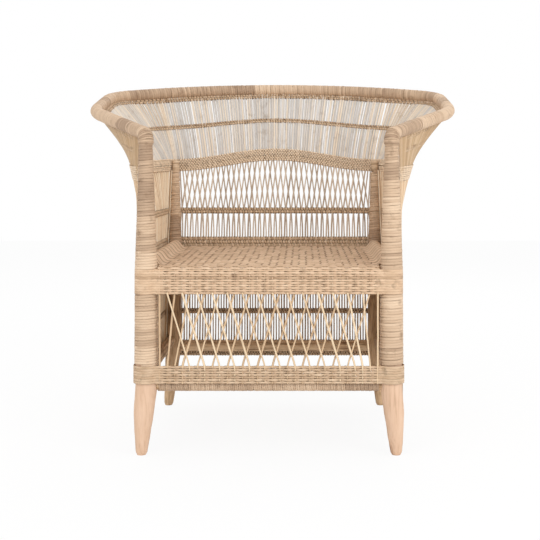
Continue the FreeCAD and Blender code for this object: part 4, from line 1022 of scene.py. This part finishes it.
def level_point(v, level, bulge, bow, crown, droop=0.0):
    """Right half of the wall on one level; a droop lowers it at the front post."""
    reach = front_bare(level - droop) + FIT + WRAP + PANEL_START
    start = Vector((POST_X + START_OUT * reach, FRONT_Y + START_BACK * reach, level - droop))
    ring = rear_bare(level) + FIT + WRAP + REST + BAND_HALF
    pole = rear_axis(level)
    if v <= 1:
        point = start.lerp(pole + Vector((ring, 0, 0)), v)
        point.x += bulge * 4 * v * (1 - v)
        return point
    if v <= 2:
        angle = (v - 1) * math.pi / 2
        return pole + Vector((ring * math.cos(angle), ring * math.sin(angle), 0))
    share = WALL_MIDDLE - v
    return Vector((pole.x * share, pole.y + ring + bow * (1 - share ** 2),
                   level + crown * (1 + math.cos(math.pi * share)) / 2))


def wide_point(v):
    return level_point(v, WIDE_LEVEL, WIDE_BULGE, WIDE_BOW, WIDE_CROWN, WIDE_DROOP)


def panel_point(v, level):
    """Wall below the wide band's middle, at a height."""
    low = level_point(v, PANEL_FOOT, 0.0, 0.0, 0.0)
    for high in (level_point(v, SEAT_LEVEL, THIN_BULGE / 2, 0.0, 0.0),
                 level_point(v, THIN_LEVEL, THIN_BULGE, THIN_BOW, 0.0), wide_point(v)):
        if level <= high.z or high.z > THIN_LEVEL + 0.001:
            return low + (high - low) * ((level - low.z) / (high.z - low.z))
        low = high


def on_half(v):
    """The side a place lies on and the same place on the right half."""
    return (1, v) if v <= WALL_MIDDLE else (-1, WALL_END - v)


def on_side(v, side):
    """A place of the right half, moved to a side."""
    return v if side > 0 else WALL_END - v


def on_wall(surface, v, height):
    """Point and outward direction anywhere round the wall."""
    side, right_v = on_half(v)
    here = surface(right_v, height)
    along = surface(min(right_v + V_STEP, WALL_MIDDLE), height) - surface(max(right_v - V_STEP, 0.0), height)
    rise = surface(right_v, height + RISE_STEP) - here
    face = along.cross(rise).normalized()
    return mirrored([here, face], side)


print("wall from", PANEL_FOOT, "to", round(WIDE_LEVEL, 3), "m")

# %% [markdown]
# Above the wide band each cane leans out to its own place on the rim. The wall's length on two
# levels, one below and one in the collar, tells how many canes and stitches fit on it.

# %% Collar and lengths of the wall
KNOB_CLEAR = 0.027
MID_SHARE, COLLAR_FLARE = 0.52, 1.25
RIM_SHARES = (0.60, 0.69, 1.0)
RIM_SKIN = RIM_RADIUS + FIT + WRAP
LENGTH_STEPS = 25


def rim_over(v):
    """Rim axis over a place on the wall."""
    marks = [KNOB_CLEAR] + [share * rim_half_length for share in RIM_SHARES]
    stretch = min(int(v), 2)
    return rim_at(mix(marks[stretch], marks[stretch + 1], v - stretch))


def collar_point(v, share):
    """Collar from the wide band's middle, 0, to the rim's axis, 1."""
    low, high = wide_point(v), rim_over(v)
    out = share ** COLLAR_FLARE
    return Vector((mix(low.x, high.x, out), mix(low.y, high.y, out), mix(low.z, high.z, share)))


def stretch_lengths(curve):
    """Lengths of side, corner and half back on a level curve."""
    lengths = []
    for stretch in range(3):
        points = [curve(stretch + share) for share in levels(0.0, 1.0, LENGTH_STEPS)]
        lengths.append(sum((b - a).length for a, b in zip(points, points[1:])))
    return lengths


def thin_curve(v):
    return panel_point(v, THIN_LEVEL - 0.0001)


def collar_curve(v):
    return collar_point(v, MID_SHARE)


panel_lengths, collar_lengths = stretch_lengths(thin_curve), stretch_lengths(collar_curve)
print("wall stretches", [round(length, 3) for length in panel_lengths + collar_lengths])

# %% [markdown]
# ## Standing canes
# Canes stand in two layers, seven millimetres apart, from the foot of the wall into the wide band.
# Each one is drawn on the wall as a line of points and eased a little, because cane has no kinks.

# %% Lines for canes
CANE_PITCH, CANE_START, TOP_GAP = 0.0071, 0.012, 0.0006


def spread(lengths, pitch, begin):
    """Evenly pitched places on the right half, stretch by stretch."""
    places = []
    for stretch, length in enumerate(lengths):
        count = max(1, int(round(length / pitch)))
        first = begin if stretch == 0 else 0.0
        places.append([stretch + first + (1 - first) * (i + 0.5) / count for i in range(count)])
    return places


def between(places):
    return [(a + b) / 2 for a, b in zip(places, places[1:])]


def relaxed(points, rounds):
    """The same line with its corners eased."""
    for _ in range(rounds):
        eased = [(a + b * 2 + c) / 4 for a, b, c in zip(points, points[1:], points[2:])]
        points = points[:1] + eased + points[-1:]
    return points


def upright(v_low, v_thin, v_high, layer, steps=30):
    """Cane from the wall's foot past the thin band into the wide band."""
    top = wide_point(on_half(v_high)[1]).z
    points = []
    for level in levels(PANEL_FOOT, top, steps):
        v = mix(v_low, v_thin, max(0.0, min(1.0, (level - SEAT_LEVEL) / (THIN_LEVEL - SEAT_LEVEL))) ** 4)
        if level > THIN_LEVEL:
            v = mix(v_thin, v_high, (level - THIN_LEVEL) / (top - THIN_LEVEL))
        place, face = on_wall(panel_point, v, min(level, top - TOP_GAP))
        points.append(place + face * (layer * PANEL_HALF / 2))
    return relaxed(points, 2)


def outward_at(surface, places, height):
    """Outward directions at places round the wall."""
    return [on_wall(surface, v, height)[1] for v in places]


side_v, corner_v, back_v = spread(panel_lengths, CANE_PITCH, CANE_START)
print("canes on a side", len(side_v + corner_v), "and on half the back", len(back_v))

# %% [markdown]
# A cane is a little thicker, thinner, lighter or more crooked than its neighbour, so one helper
# draws those differences for every group of canes. Inside a band a cane can be slimmer, and a
# split can swell towards its top.

# %% Groups of canes
SLIM = 0.6
cane_random = random.Random(21)


def cane_piece(name, node, lines, radius, wobble, sides=7, tone=(0.25, 0.95), girth=(0.8, 1.15),
               paint=pale_paint, slim_below=0.0, outward=None, swell=0.0):
    """Canes that differ in girth and tone; outward holds the way that each cane's skin looks."""
    tones, girths = [], []
    for line in lines:
        own_tone = cane_random.uniform(*tone)
        own_girth = radius * cane_random.uniform(*girth)
        tones.append([own_tone] * len(line))
        girths.append([own_girth * (SLIM if point.z < slim_below else 1.0) * (1 + swell * i / len(line))
                       for i, point in enumerate(line)])
    faces = [[out] * len(line) for out, line in zip(outward or [Vector()] * len(lines), lines)]
    path = path_object(lines, tone=tones, girth=girths, face=faces)
    grow(name, cane_tree, path, "pale_cane", node, paint, Wobble=wobble, Sides=sides)


print("a cane is", round(2000 * CANE_RADIUS, 1), "mm thick, give or take a fifth")

# %% [markdown]
# The side canes go straight up. A few more stand close against each rear post and shut the slit
# beside it, and thin splits fill the gaps between the two layers.

# %% Side canes
POST_CANES = (-0.1, 0.1, 0.32, 0.6)
POST_CANE_GAP, POST_CANE_TOP, POST_CANE_STEPS, WRAP_EASE = 0.0020, WIDE_LEVEL - 0.014, 16, 0.02


def beside_post(angle, side):
    """Cane that stands close against a rear post."""
    points = []
    for level in levels(PANEL_FOOT, POST_CANE_TOP, POST_CANE_STEPS):
        out = rear_bare(level) + POST_CANE_GAP + WRAP * smooth((level - REAR_WRAP_LOW) / WRAP_EASE + 1)
        points.append(rear_axis(level) + Vector((out * math.cos(angle), -out * math.sin(angle), 0)))
    return mirrored(points, side)


for side, word in SIDES:
    around = [on_side(v, side) for v in side_v + corner_v]
    lines = [upright(v, v, v, 1 if i % 2 else -1) for i, v in enumerate(around)]
    lines += [beside_post(angle, side) for angle in POST_CANES]
    outs = outward_at(panel_point, around, SEAT_LEVEL) + [Vector((side, 0, 0))] * len(POST_CANES)
    cane_piece(word + "_side_rods", word + "_side_canes", lines, CANE_RADIUS, 0.0016, paint=side_paint,
               outward=outs)
for side, word in SIDES:
    around = [on_side(v, side) for v in between(side_v)]
    cane_piece(word + "_side_splits", word + "_side_canes", [upright(v, v, v, 0) for v in around],
               CANE_RADIUS, 0.0014, 5, (0.3, 0.9), paint=side_paint,
               outward=outward_at(panel_point, around, SEAT_LEVEL))
print("side canes", counted("_side_r"), counted("_side_s"))

# %% [markdown]
# Behind the back, between the thin and the wide band, the two layers lean opposite ways and
# cross. A cane at the end of the row has no room to lean, so the lean eases off there.

# %% Back canes
BACK_STEP = 3.0


def edge_eased(index, count, steps):
    """Full sideways steps in the middle of a row, easing to none at the end it leans to."""
    return steps * max(0.0, min(1.0, (count - 1 - index) / (2 * steps)))


back_row = back_v + [WALL_END - v for v in reversed(back_v)]
row_pitch = back_row[1] - back_row[0]
families = {1: [], -1: []}
for index, v in enumerate(back_row):
    layer = 1 if index % 2 else -1
    ahead = index if layer > 0 else len(back_row) - 1 - index
    steps = edge_eased(ahead, len(back_row), BACK_STEP)
    meet = v + layer * row_pitch * steps / (2 * BACK_STEP)
    families[layer].append(upright(v, meet, meet + layer * steps * row_pitch, layer))
for word, layer in (("outer", 1), ("inner", -1)):
    cane_piece("back_%s_rods" % word, "back_%s_canes" % word, families[layer], CANE_RADIUS, 0.0022,
               girth=(0.95, 1.4), paint=back_paint)
print("back canes", len(back_row))

# %% [markdown]
# The collar's canes start behind the wide band and flare out to the rim, closer together than the ones
# below. They overlap in places, so little light comes through. Thin paler splits stand behind them, one in
# each gap; their grey pith is painted shade, so that each gap shows grey instead of white.

# %% Collar canes
COLLAR_PITCH, COLLAR_START, COLLAR_RADIUS = 0.0067, 0.02, 0.0016
ROD_LOW, ROD_CLEAR, ROD_STEPS = 0.004, -0.001, 11
SPLIT_RADIUS, SPLIT_BACK = 0.0017, 0.0014
SPLIT_LOW, SPLIT_CLEAR, SPLIT_STEPS = 0.02, 0.001, 9
SHAKE, NEAR_RIM = 0.3, 0.8


def collar_line(v, low, clear, steps, back=0.0):
    """Line up the collar, from a share of its height to just under the rim's winding."""
    right_v = on_half(v)[1]
    rise = (rim_over(right_v) - collar_point(right_v, NEAR_RIM)).length / (1 - NEAR_RIM)
    points = []
    for share in levels(low, 1.0 - (RIM_SKIN + clear) / rise, steps):
        place, face = on_wall(collar_point, v, share)
        points.append(place + face * back)
    return points


def collar_rods(word, around, wobble):
    lines = [collar_line(v, ROD_LOW, ROD_CLEAR, ROD_STEPS) for v in around]
    cane_piece(word + "_collar_rods", word + "_collar_canes", lines, COLLAR_RADIUS, wobble, girth=(0.9, 1.6),
               paint=collar_paint, outward=outward_at(collar_point, around, MID_SHARE))


def collar_splits(word, around, paint, swell):
    lines = [collar_line(v, SPLIT_LOW, SPLIT_CLEAR, SPLIT_STEPS, SPLIT_BACK) for v in around]
    cane_piece(word + "_collar_splits", word + "_collar_canes", lines, SPLIT_RADIUS, 0.0015, 5, paint=paint,
               outward=outward_at(collar_point, around, MID_SHARE), swell=swell)


collar_side, collar_corner, collar_back = spread(collar_lengths, COLLAR_PITCH, COLLAR_START)
for side, word in SIDES:
    collar_rods(word, [on_side(v, side) for v in collar_side + collar_corner], 0.0018)
shake = SHAKE * (collar_back[1] - collar_back[0])
around = [v + cane_random.uniform(-shake, shake) for v in collar_back]
around += [WALL_END - v + cane_random.uniform(-shake, shake) for v in collar_back]
collar_rods("back", around, 0.0022)
for side, word in SIDES:
    gaps = between([0.0] + collar_side + collar_corner)
    collar_splits(word, [on_side(v, side) for v in gaps], tip_paint, 0.7)
gaps = between(collar_corner[-1:] + collar_back)
collar_splits("back", gaps + [3.0] + [WALL_END - v for v in gaps], fill_paint, 0.25)
print("collar canes", counted("collar"))

# %% [markdown]
# ## Twined bands
# The bands that hold the canes are pairs of strands that twist round each other between the
# canes. Seen from either side that gives slanted stitches, and the slant turns round from one row
# to the next. Each band is a few such rows, drawn on the wall at its height.

# %% Places round the wall
STITCH = CANE_PITCH
ROW_STEPS = (60, 14, 40)
TUCK, TUCK_RUN = 0.35, 0.12


def places_round():
    """Places along the whole wall, close enough for smooth rows."""
    half = []
    for stretch, count in enumerate(ROW_STEPS):
        half += [stretch + i / count for i in range(count)]
    return half + [3.0] + [WALL_END - v for v in reversed(half)]


ROUND = places_round()
TUCKED = [TUCK + (1 - TUCK) * smooth(on_half(v)[1] / TUCK_RUN) for v in ROUND]


def round_point(curve, v):
    """Point of a level curve anywhere round the wall."""
    side, right_v = on_half(v)
    return mirrored([curve(right_v)], side)[0]


def stake_counts(curve):
    """How many stitches lie before each place, measured on one level curve."""
    points = [round_point(curve, v) for v in ROUND]
    counts = [0.0]
    for a, b in zip(points, points[1:]):
        counts.append(counts[-1] + (b - a).length / STITCH)
    return counts


panel_counts, collar_counts = stake_counts(thin_curve), stake_counts(collar_curve)
print("stitches round the wall", int(panel_counts[-1]), "and round the collar", int(collar_counts[-1]))

# %% [markdown]
# A twined row is two strands on one line, one stake apart in their count. Every strand keeps its
# facing and which way is up on it; a lean turns that way round, and with it the slant.

# %% Twined rows
STRAND_THICKNESS, STRAND_LIFT, STRAND_LAP = 0.0019, 0.25, 1.02
band_random = random.Random(33)


def woven(name, node, slot, paint, strands, **sizes):
    """Weave of strands, each given by its points, facings, sways, stake counts, tone and lean."""
    lines = []
    kept = {key: [] for key in ("face", "rise", "stake", "sway", "tone")}
    for points, faces, sways, stakes, tone, lean in strands:
        ends = [points[0]] + points + [points[-1]]
        rises = [face.cross(after - before).normalized() * lean
                 for face, before, after in zip(faces, ends, ends[2:])]
        lines.append(points)
        for key, row in zip(kept, (faces, rises, stakes, sways, [tone] * len(points))):
            kept[key].append(row)
    grow(name, weaver_tree, path_object(lines, **kept), slot, node, paint, **sizes)


def twined(name, node, rows, counts, depth, width, tone):
    """Band of twined rows; each row gives the point and outward direction at a place."""
    strands = []
    for index, row in enumerate(rows):
        points, faces = (list(part) for part in zip(*[row(v) for v in ROUND]))
        lean = 1 if index % 2 else -1
        for strand in (0, 1):
            stakes = [count + strand + 0.5 * index for count in counts]
            strands.append((points, faces, TUCKED, stakes, band_random.uniform(*tone), lean))
    woven(name, node, "band_cane", band_paint, strands, Step=STITCH / 4, Depth=depth, Sides=5, Gain=2.0,
          Bias=0.0, Lift=width * STRAND_LIFT, Width=width * STRAND_LAP, Thickness=STRAND_THICKNESS)


def row_places(low, height, count):
    """Middles of equal rows between two edges."""
    return [low + height * (i + 0.5) / count for i in range(count)]


print("rows of two strands, steps of", round(STITCH / 4, 4), "m")

# %% [markdown]
# Four bands lie level on the wall. The wide one bends with it from the panel into the collar, one
# crosses the collar half way up, and the last one hides the canes' ends under the rim.

# %% Bands of the wall
PANEL_DEPTH, COLLAR_DEPTH = PANEL_HALF + 0.0006, COLLAR_RADIUS + 0.0011
WIDE_HEIGHT, WIDE_ROWS, WIDE_STRAND = 0.032, 7, 0.0046
MID_HEIGHT, RIM_BAND_LOW, RIM_BAND_HEIGHT = 0.011, -0.0005, 0.012
LEVEL_BANDS = [
    ("bottom_band", PANEL_FOOT - 0.001, 0.040, 7, (0.1, 0.55)),
    ("low_thin_band", 0.236, 0.012, 2, (0.1, 0.5)),
    # The seat band's low tones are partly its own colour and partly painted shade, for the shadow it lies
    # in.
    ("seat_band", 0.396, 0.044, 5, (0.2, 0.75)),
    ("thin_band", THIN_LEVEL - 0.007, 0.014, 2, (0.3, 0.7)),
]


def wall_row(level):
    return lambda v: on_wall(panel_point, v, level)


def wide_row(offset):
    """Row of the wide band: on the wall below the band's middle, along the collar above it."""
    def row(v):
        if offset < 0:
            return on_wall(panel_point, v, wide_point(on_half(v)[1]).z + offset)
        low, _ = on_wall(collar_point, v, 0.0)
        quarter, face = on_wall(collar_point, v, MID_SHARE / 2)
        return low + (quarter - low).normalized() * offset, face
    return row


def collar_row(share, offset):
    """Row of the collar, a distance along the canes from a share of their height."""
    def row(v):
        point, face = on_wall(collar_point, v, share)
        beyond, _ = on_wall(collar_point, v, share + 0.01)
        return point + (beyond - point).normalized() * offset, face
    return row


def rim_row(distance):
    """Row just under the rim's winding."""
    def row(v):
        _, face = on_wall(collar_point, v, 0.97)
        low, _ = on_wall(collar_point, v, MID_SHARE)
        axis = round_point(rim_over, v)
        return axis + (low - axis).normalized() * distance, face
    return row


for name, low, height, count, tone in LEVEL_BANDS:
    twined(name + "_weavers", name, [wall_row(z) for z in row_places(low, height, count)], panel_counts,
           PANEL_DEPTH, height / count, tone)
wide_rows = [wide_row(z) for z in row_places(-WIDE_HEIGHT / 2, WIDE_HEIGHT, WIDE_ROWS)]
twined("wide_band_weavers", "wide_band", wide_rows, panel_counts, PANEL_DEPTH, WIDE_STRAND, (0.9, 1.4))
mid_rows = [collar_row(MID_SHARE, z) for z in row_places(-MID_HEIGHT / 2, MID_HEIGHT, 2)]
twined("mid_collar_weavers", "mid_collar_band", mid_rows, collar_counts, COLLAR_DEPTH, MID_HEIGHT / 2,
       (0.15, 0.6))
rim_rows = [rim_row(RIM_SKIN + z) for z in row_places(RIM_BAND_LOW, RIM_BAND_HEIGHT, 2)]
twined("rim_band_weavers", "rim_band", rim_rows, collar_counts, COLLAR_DEPTH, RIM_BAND_HEIGHT / 2,
       (0.2, 0.65))
print("bands", counted("weavers"))

# %% [markdown]
# ## The woven seat
# The seat is plain weave: thirty stakes run from the apron over the front rail and back across
# the deck, and flat weavers cross them, over one and under the next. The apron's weavers carry on
# round the front posts, and the deck's weavers roll over the side rails on a slant.

# %% Seat surface
ROW, WEAVE, APRON = 0.0055, 0.007, 0.040
FRONT_RAIL_RADIUS, FRONT_RAIL_LEVEL = 0.015, 0.396
SIDE_RAIL_RADIUS, SIDE_RAIL_INSET, SIDE_RISE = 0.0105, 0.004, 0.020
LATTICE_RADIUS, STAKE_SPACING = 0.0022, 0.0156
DISH, DISH_FLATNESS = 0.002, 0.7
DECK_SWAY, APRON_SWAY = 0.4, 0.4
POST_GAP, ROLL_GAP = 0.002, 0.0015
ROLL = FRONT_RAIL_RADIUS + REST + WEAVE / 2
ROLL_LENGTH = ROLL * math.pi / 2
DECK = FRONT_RAIL_LEVEL + ROLL
WEAVE_HALF = POST_X - front_bare(FRONT_RAIL_LEVEL) - WRAP - POST_GAP
DECK_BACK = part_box("seat_weave")[1].y
seat_length = APRON + ROLL_LENGTH + DECK_BACK - FRONT_Y
stake_edge = WEAVE_HALF - 2 * LATTICE_RADIUS
stake_total = 2 * int(stake_edge / STAKE_SPACING)
stake_pitch = 2 * stake_edge / (stake_total - 1)
stake_x = [-stake_edge + i * stake_pitch for i in range(stake_total)]


def deck_level(x, y):
    """Deck's middle surface: dished towards its centre."""
    run = max(0.0, min(1.0, (y - FRONT_Y) / (DECK_BACK - FRONT_Y)))
    return DECK - DISH * max(0.0, 1 - (x / WEAVE_HALF) ** 2) * math.sin(math.pi * run) ** DISH_FLATNESS


def seat_profile(distance):
    """Point and outward direction on the weave, up the apron, over the rail and along the deck."""
    if distance < APRON:
        return Vector((0, FRONT_Y - ROLL, FRONT_RAIL_LEVEL - APRON + distance)), Vector((0, -1, 0))
    if distance < APRON + ROLL_LENGTH:
        angle = (distance - APRON) / ROLL
        out = Vector((0, -math.cos(angle), math.sin(angle)))
        return Vector((0, FRONT_Y, FRONT_RAIL_LEVEL)) + out * ROLL, out
    return Vector((0, FRONT_Y + distance - APRON - ROLL_LENGTH, DECK)), Vector((0, 0, 1))


print("stakes", stake_total, "pitch", round(stake_pitch, 4))

# %% [markdown]
# Between the stakes the weavers dive, and the slits there lie in shade, in short dashes that follow the
# stakes to the back. They are too fine to cut, so the deck's finish paints that shade: one column for each
# gap between two stakes, broken into dashes of uneven place and length. Painted shade also marks slanted
# folds on the side rolls. On the apron two rows part a little over each stake, so there the dashes of
# painted shade lie between the rows, in columns.

# %% Seat finish
DASH, DASH_SLANT, DASH_MIDDLE = 0.048, 0.24, 0.38
ROLL_LINES, ROLL_SLANT = 0.048, 0.7
DASH_SHADE, FOLD_SHADE, GAP_SHADE = 0.9, 0.55, 0.9


def dashes(net):
    """Mask of painted shade: dashes in the slits between the deck's stakes and folds on its side rolls."""
    x, y, _ = net.parts(own_place(net))
    column = (x - stake_x[0]) / stake_pitch
    row = net.math("FLOOR", column)
    along = y / DASH + net.random("1D", W=row) * 9.0
    part = net.math("FRACT", along)
    away = abs(net.math("FRACT", column) - (part * DASH_SLANT + DASH_MIDDLE))
    line = (1.0 - net.span(away, 0.05, 0.17)) * net.span(part * (1.0 - part), 0.03, 0.14)
    chosen = net.random("2D", Vector=net.joined(row, net.math("FLOOR", along), 0.0))
    inside = net.math("LESS_THAN", abs(x), WEAVE_HALF - 0.008)
    behind = net.span(y, FRONT_Y + 0.006, FRONT_Y + 0.016)
    slit_shade_mask = net.span(chosen, 0.15, 0.6) * line * behind * (inside * DASH_SHADE)
    rolled = 1.0 - net.span(number(net, "sway"), 0.0, DECK_SWAY)
    stretch = net.math("FRACT", (y - abs(x) * ROLL_SLANT) / ROLL_LINES)
    fold = 1.0 - net.span(abs(stretch - 0.5), 0.06, 0.2)
    return net.math("MAXIMUM", slit_shade_mask, fold * rolled * FOLD_SHADE)


def row_gap_shade(net):
    """Mask of painted shade in the short gaps between two rows, one over each stake."""
    count = number(net, "stake") * (2 * math.pi) + number(net, "tone") * 2.0
    column = net.span(net.math("COSINE", count), -0.5, 0.1)
    seam_shade = net.span(abs(number(net, "across")), 0.56, 0.8)
    return seam_shade * column * (net.span(number(net, "sway"), 0.0, APRON_SWAY) * GAP_SHADE)


SEAT_SHADES = [(0.0, 184, 152, 122), (0.5, 220, 188, 156), (1.0, 238, 210, 180)]
FRONT_SHADES = [(0.0, 164, 134, 105), (0.5, 202, 172, 141), (1.0, 230, 203, 173)]
seat_paint = cane_finish("seat_cane", SEAT_SHADES, (104, 74, 50), 0.3, marks=row_gap_shade)
front_paint = cane_finish("front_band_cane", FRONT_SHADES, (96, 70, 48), 0.4, marks=row_gap_shade)
deck_paint = cane_finish("deck_cane", SEAT_SHADES, (120, 88, 62), 0.4, marks=dashes)
print("dashes of", DASH, "m between", stake_total, "stakes")

# %% [markdown]
# A row of weave is worked out for the right half and then mirrored, so it is one strand from side
# to side. Each point keeps a sway: full where the row is woven, none where it is only wrapped.
# The apron's rows run on to the posts and round them to the back.

# %% Rows round the posts
HALF_STEPS, POST_STEPS = 60, 22
POST_END, POST_SINK, POST_NEAR = 2.45 * math.pi, -0.0008, 0.004
APRON_FADE = (0.012, 0.010)
WEAVE_DEPTH, WEAVE_STRAND, WEAVE_LAP = 0.0024, 0.0021, 1.16
seat_random = random.Random(5)


def apron_row(level, depth, face, extra=POST_SINK):
    """Weaver across the front between and round the posts, right half."""
    radius = front_bare(level) + FIT + WRAP + extra
    first = math.pi + math.asin(min(1.0, depth / radius))
    outs = [Vector((math.cos(a), math.sin(a), 0)) for a in levels(first, POST_END, POST_STEPS)]
    ends = [front_axis(level) + out * radius for out in outs]
    xs = levels(0.0, ends[0].x - POST_NEAR, HALF_STEPS)
    points = [Vector((x, FRONT_Y - depth, level)) for x in xs] + ends
    sways = [APRON_SWAY * (1 - smooth((x - WEAVE_HALF + APRON_FADE[0]) / APRON_FADE[1])) for x in xs]
    return points, [face] * len(xs) + outs, sways + [0.0] * len(ends)


def whole_row(half):
    """Both halves of a row as one line."""
    points, faces, sways = half
    left_points, left_faces = mirrored(points, -1), mirrored(faces, -1)
    return left_points[:0:-1] + points, left_faces[:0:-1] + faces, sways[:0:-1] + sways


def weave_piece(name, node, rows, slot, paint, tone, width=ROW):
    """Plain weave over the stakes; each row is one line with its facing and its sway."""
    strands = []
    for index, (points, faces, sways) in enumerate(rows):
        stakes = [(point.x - stake_x[0]) / stake_pitch + index for point in points]
        strands.append((points, faces, sways, stakes, seat_random.uniform(*tone), 1))
    woven(name, node, slot, paint, strands, Step=stake_pitch / 7, Depth=WEAVE_DEPTH, Lift=0.0,
          Width=width * WEAVE_LAP, Thickness=WEAVE_STRAND, Sides=6, Gain=1.7, Bias=0.55)


print("rows of the seat", int(seat_length / ROW))

# %% [markdown]
# The deck's rows climb from the flat deck up to the side rails and over them, and drift back a
# little on the way. Near the posts there is less room to drift, so the slant grows row by row.

# %% Rows of the deck
SIDE_LEVEL = FRONT_RAIL_LEVEL + FRONT_RAIL_RADIUS - SIDE_RAIL_RADIUS + SIDE_RISE
SIDE_ROLL = SIDE_RAIL_RADIUS + REST + WEAVE / 2
CLIMB, KNEE_RUN = math.radians(50.0), 0.030
SLANT, SLANT_GAIN = 0.030, 0.12
DECK_FADE, APRON_TOP = (0.026, 0.014), DECK - 0.006
ROLL_START = FRONT_Y + front_bare(FRONT_RAIL_LEVEL) + WRAP + ROLL_GAP
ROLL_END = rear_axis(FRONT_RAIL_LEVEL).y - rear_bare(FRONT_RAIL_LEVEL) - WRAP - ROLL_GAP


def climbing_side():
    """Cross-section of the weave from the flat deck up and over the side rail."""
    centre = Vector((POST_X - SIDE_RAIL_INSET, 0, SIDE_LEVEL))
    touch = centre + Vector((-math.sin(CLIMB), 0, math.cos(CLIMB))) * SIDE_ROLL
    knee = touch.x - (touch.z - DECK) / math.tan(CLIMB)
    points = [Vector((x, 0, DECK)) for x in levels(knee - KNEE_RUN, knee, 7)]
    points += [Vector((mix(knee, touch.x, i / 5), 0, mix(DECK, touch.z, i / 5))) for i in (1, 2, 3, 4)]
    points += [centre + Vector((math.cos(a), 0, math.sin(a))) * SIDE_ROLL
               for a in levels(math.pi / 2 + CLIMB, -0.15, 12)]
    return relaxed(points, 2)


SIDE_LINE = climbing_side()


def deck_row(y, level, out):
    """Weaver across the deck, right half, up and over the side rail where there is one."""
    over_rail = ROLL_START < y < ROLL_END
    flat_end = SIDE_LINE[0].x if over_rail else WEAVE_HALF
    points = [Vector((x, y, level + deck_level(x, y) - DECK)) for x in levels(0.0, flat_end, HALF_STEPS)]
    faces, sways = [out] * HALF_STEPS, [DECK_SWAY] * HALF_STEPS
    if over_rail:
        room = min(SLANT, ROLL_END - y, SLANT_GAIN * (y - ROLL_START))
        last = len(SIDE_LINE) - 1
        for i, here in enumerate(SIDE_LINE[1:], 1):
            way = (SIDE_LINE[min(i + 1, last)] - SIDE_LINE[i - 1]).normalized()
            points.append(Vector((here.x, y + room * (i / last), here.z)))
            faces.append(Vector((-way.z, 0, way.x)))
            sways.append(DECK_SWAY * (1 - smooth((here.x - WEAVE_HALF + DECK_FADE[0]) / DECK_FADE[1])))
    return points, faces, sways


apron_rows, deck_rows = [], []
for index in range(int(seat_length / ROW)):
    place, out = seat_profile((index + 0.5) * ROW)
    if place.z < APRON_TOP and place.y < FRONT_Y:
        apron_rows.append(whole_row(apron_row(place.z, FRONT_Y - place.y, out)))
    else:
        deck_rows.append(whole_row(deck_row(place.y, place.z, out)))
print("apron rows", len(apron_rows), "deck rows", len(deck_rows))

# %% [markdown]
# The deck is kept as two pieces, because one would have too many triangles. The front piece has
# an even number of rows, so the over and under goes on across the cut. The stakes follow the
# same profile from front to back and show only where the weavers part.

# %% Seat weavers and stakes
STAKE_RADIUS, STAKE_STEPS = 0.0013, 90
weave_piece("seat_apron_weavers", "seat_weave", apron_rows, "seat_cane", seat_paint, (0.15, 0.65))
cut = len(deck_rows) // 4 * 2
for word, rows in (("front", deck_rows[:cut]), ("rear", deck_rows[cut:])):
    weave_piece("seat_deck_%s_weavers" % word, "seat_weave", rows, "seat_cane", deck_paint, (0.3, 0.7))

stake_lines = []
for x in stake_x:
    line = []
    for distance in levels(0.001, seat_length - 0.002, STAKE_STEPS):
        place, _ = seat_profile(distance)
        level = deck_level(x, place.y) if distance > APRON + ROLL_LENGTH else place.z
        line.append(Vector((x, place.y, level)))
    stake_lines.append(line)
path = path_object(stake_lines, tone=[[seat_random.uniform(0.3, 0.8)] * STAKE_STEPS for _ in stake_x],
                   girth=[[STAKE_RADIUS] * STAKE_STEPS for _ in stake_x])
grow("seat_stakes", cane_tree, path, "seat_cane", "seat_weave", seat_paint, Wobble=0.0012, Sides=6)
print("seat", counted("seat_"))

# %% [markdown]
# ## The crossed front
# Below the apron the stakes carry on as crossed canes: one family steps to the right and lies in
# front, the other steps to the left behind it. Near the lower band they straighten, and seven
# rows of plain weave hold them above the wound rail.

# %% Crossed canes and lower band
LATTICE_STEP, LATTICE_TUCK = 3.0, 0.004
BAND_LOW, BAND_HEIGHT, BAND_ROWS, BAND_SWELL = 0.160, 0.039, 7, 0.0010
LAYER = 2 * LATTICE_RADIUS + FIT
band_top, lattice_top = BAND_LOW + BAND_HEIGHT, FRONT_RAIL_LEVEL - APRON + LATTICE_TUCK
lattice_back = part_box("front_lattice_rear_canes")[1].y
band_middle = lattice_back - LATTICE_RADIUS - LAYER / 2
families = ([], [])
for index, x in enumerate(stake_x):
    layer = index % 2
    ahead = index if layer else stake_total - 1 - index
    shift = edge_eased(ahead, stake_total, LATTICE_STEP) * stake_pitch * (1 if layer else -1)
    depth = lattice_back - LATTICE_RADIUS - layer * LAYER
    line = [Vector((x + shift * share, depth, mix(lattice_top, band_top, share)))
            for share in levels(0.0, 1.0, 18)]
    line += [Vector((x + shift, band_middle, mix(band_top, BAND_LOW, share)))
             for share in levels(0.2, 1.0, 5)]
    families[layer].append(relaxed(line, 1))
for word, family, tone in zip(("rear", "front"), families, ((0.3, 0.7), (0.6, 1.0))):
    cane_piece("front_%s_lattice" % word, "front_lattice_%s_canes" % word, family, LATTICE_RADIUS, 0.0022,
               8, tone, slim_below=band_top - LATTICE_TUCK)

band_rows = [whole_row(apron_row(level, FRONT_Y - band_middle, Vector((0, -1, 0)), BAND_SWELL))
             for level in row_places(BAND_LOW, BAND_HEIGHT, BAND_ROWS)]
weave_piece("front_band_weavers", "front_lower_band", band_rows, "band_cane", front_paint, (0.3, 0.75),
            BAND_HEIGHT / BAND_ROWS)
print("front", counted("lattice"), counted("front_band"))

# %% Finish
print("triangles", sum(triangle_count.values()), "largest", max(triangle_count.values()))
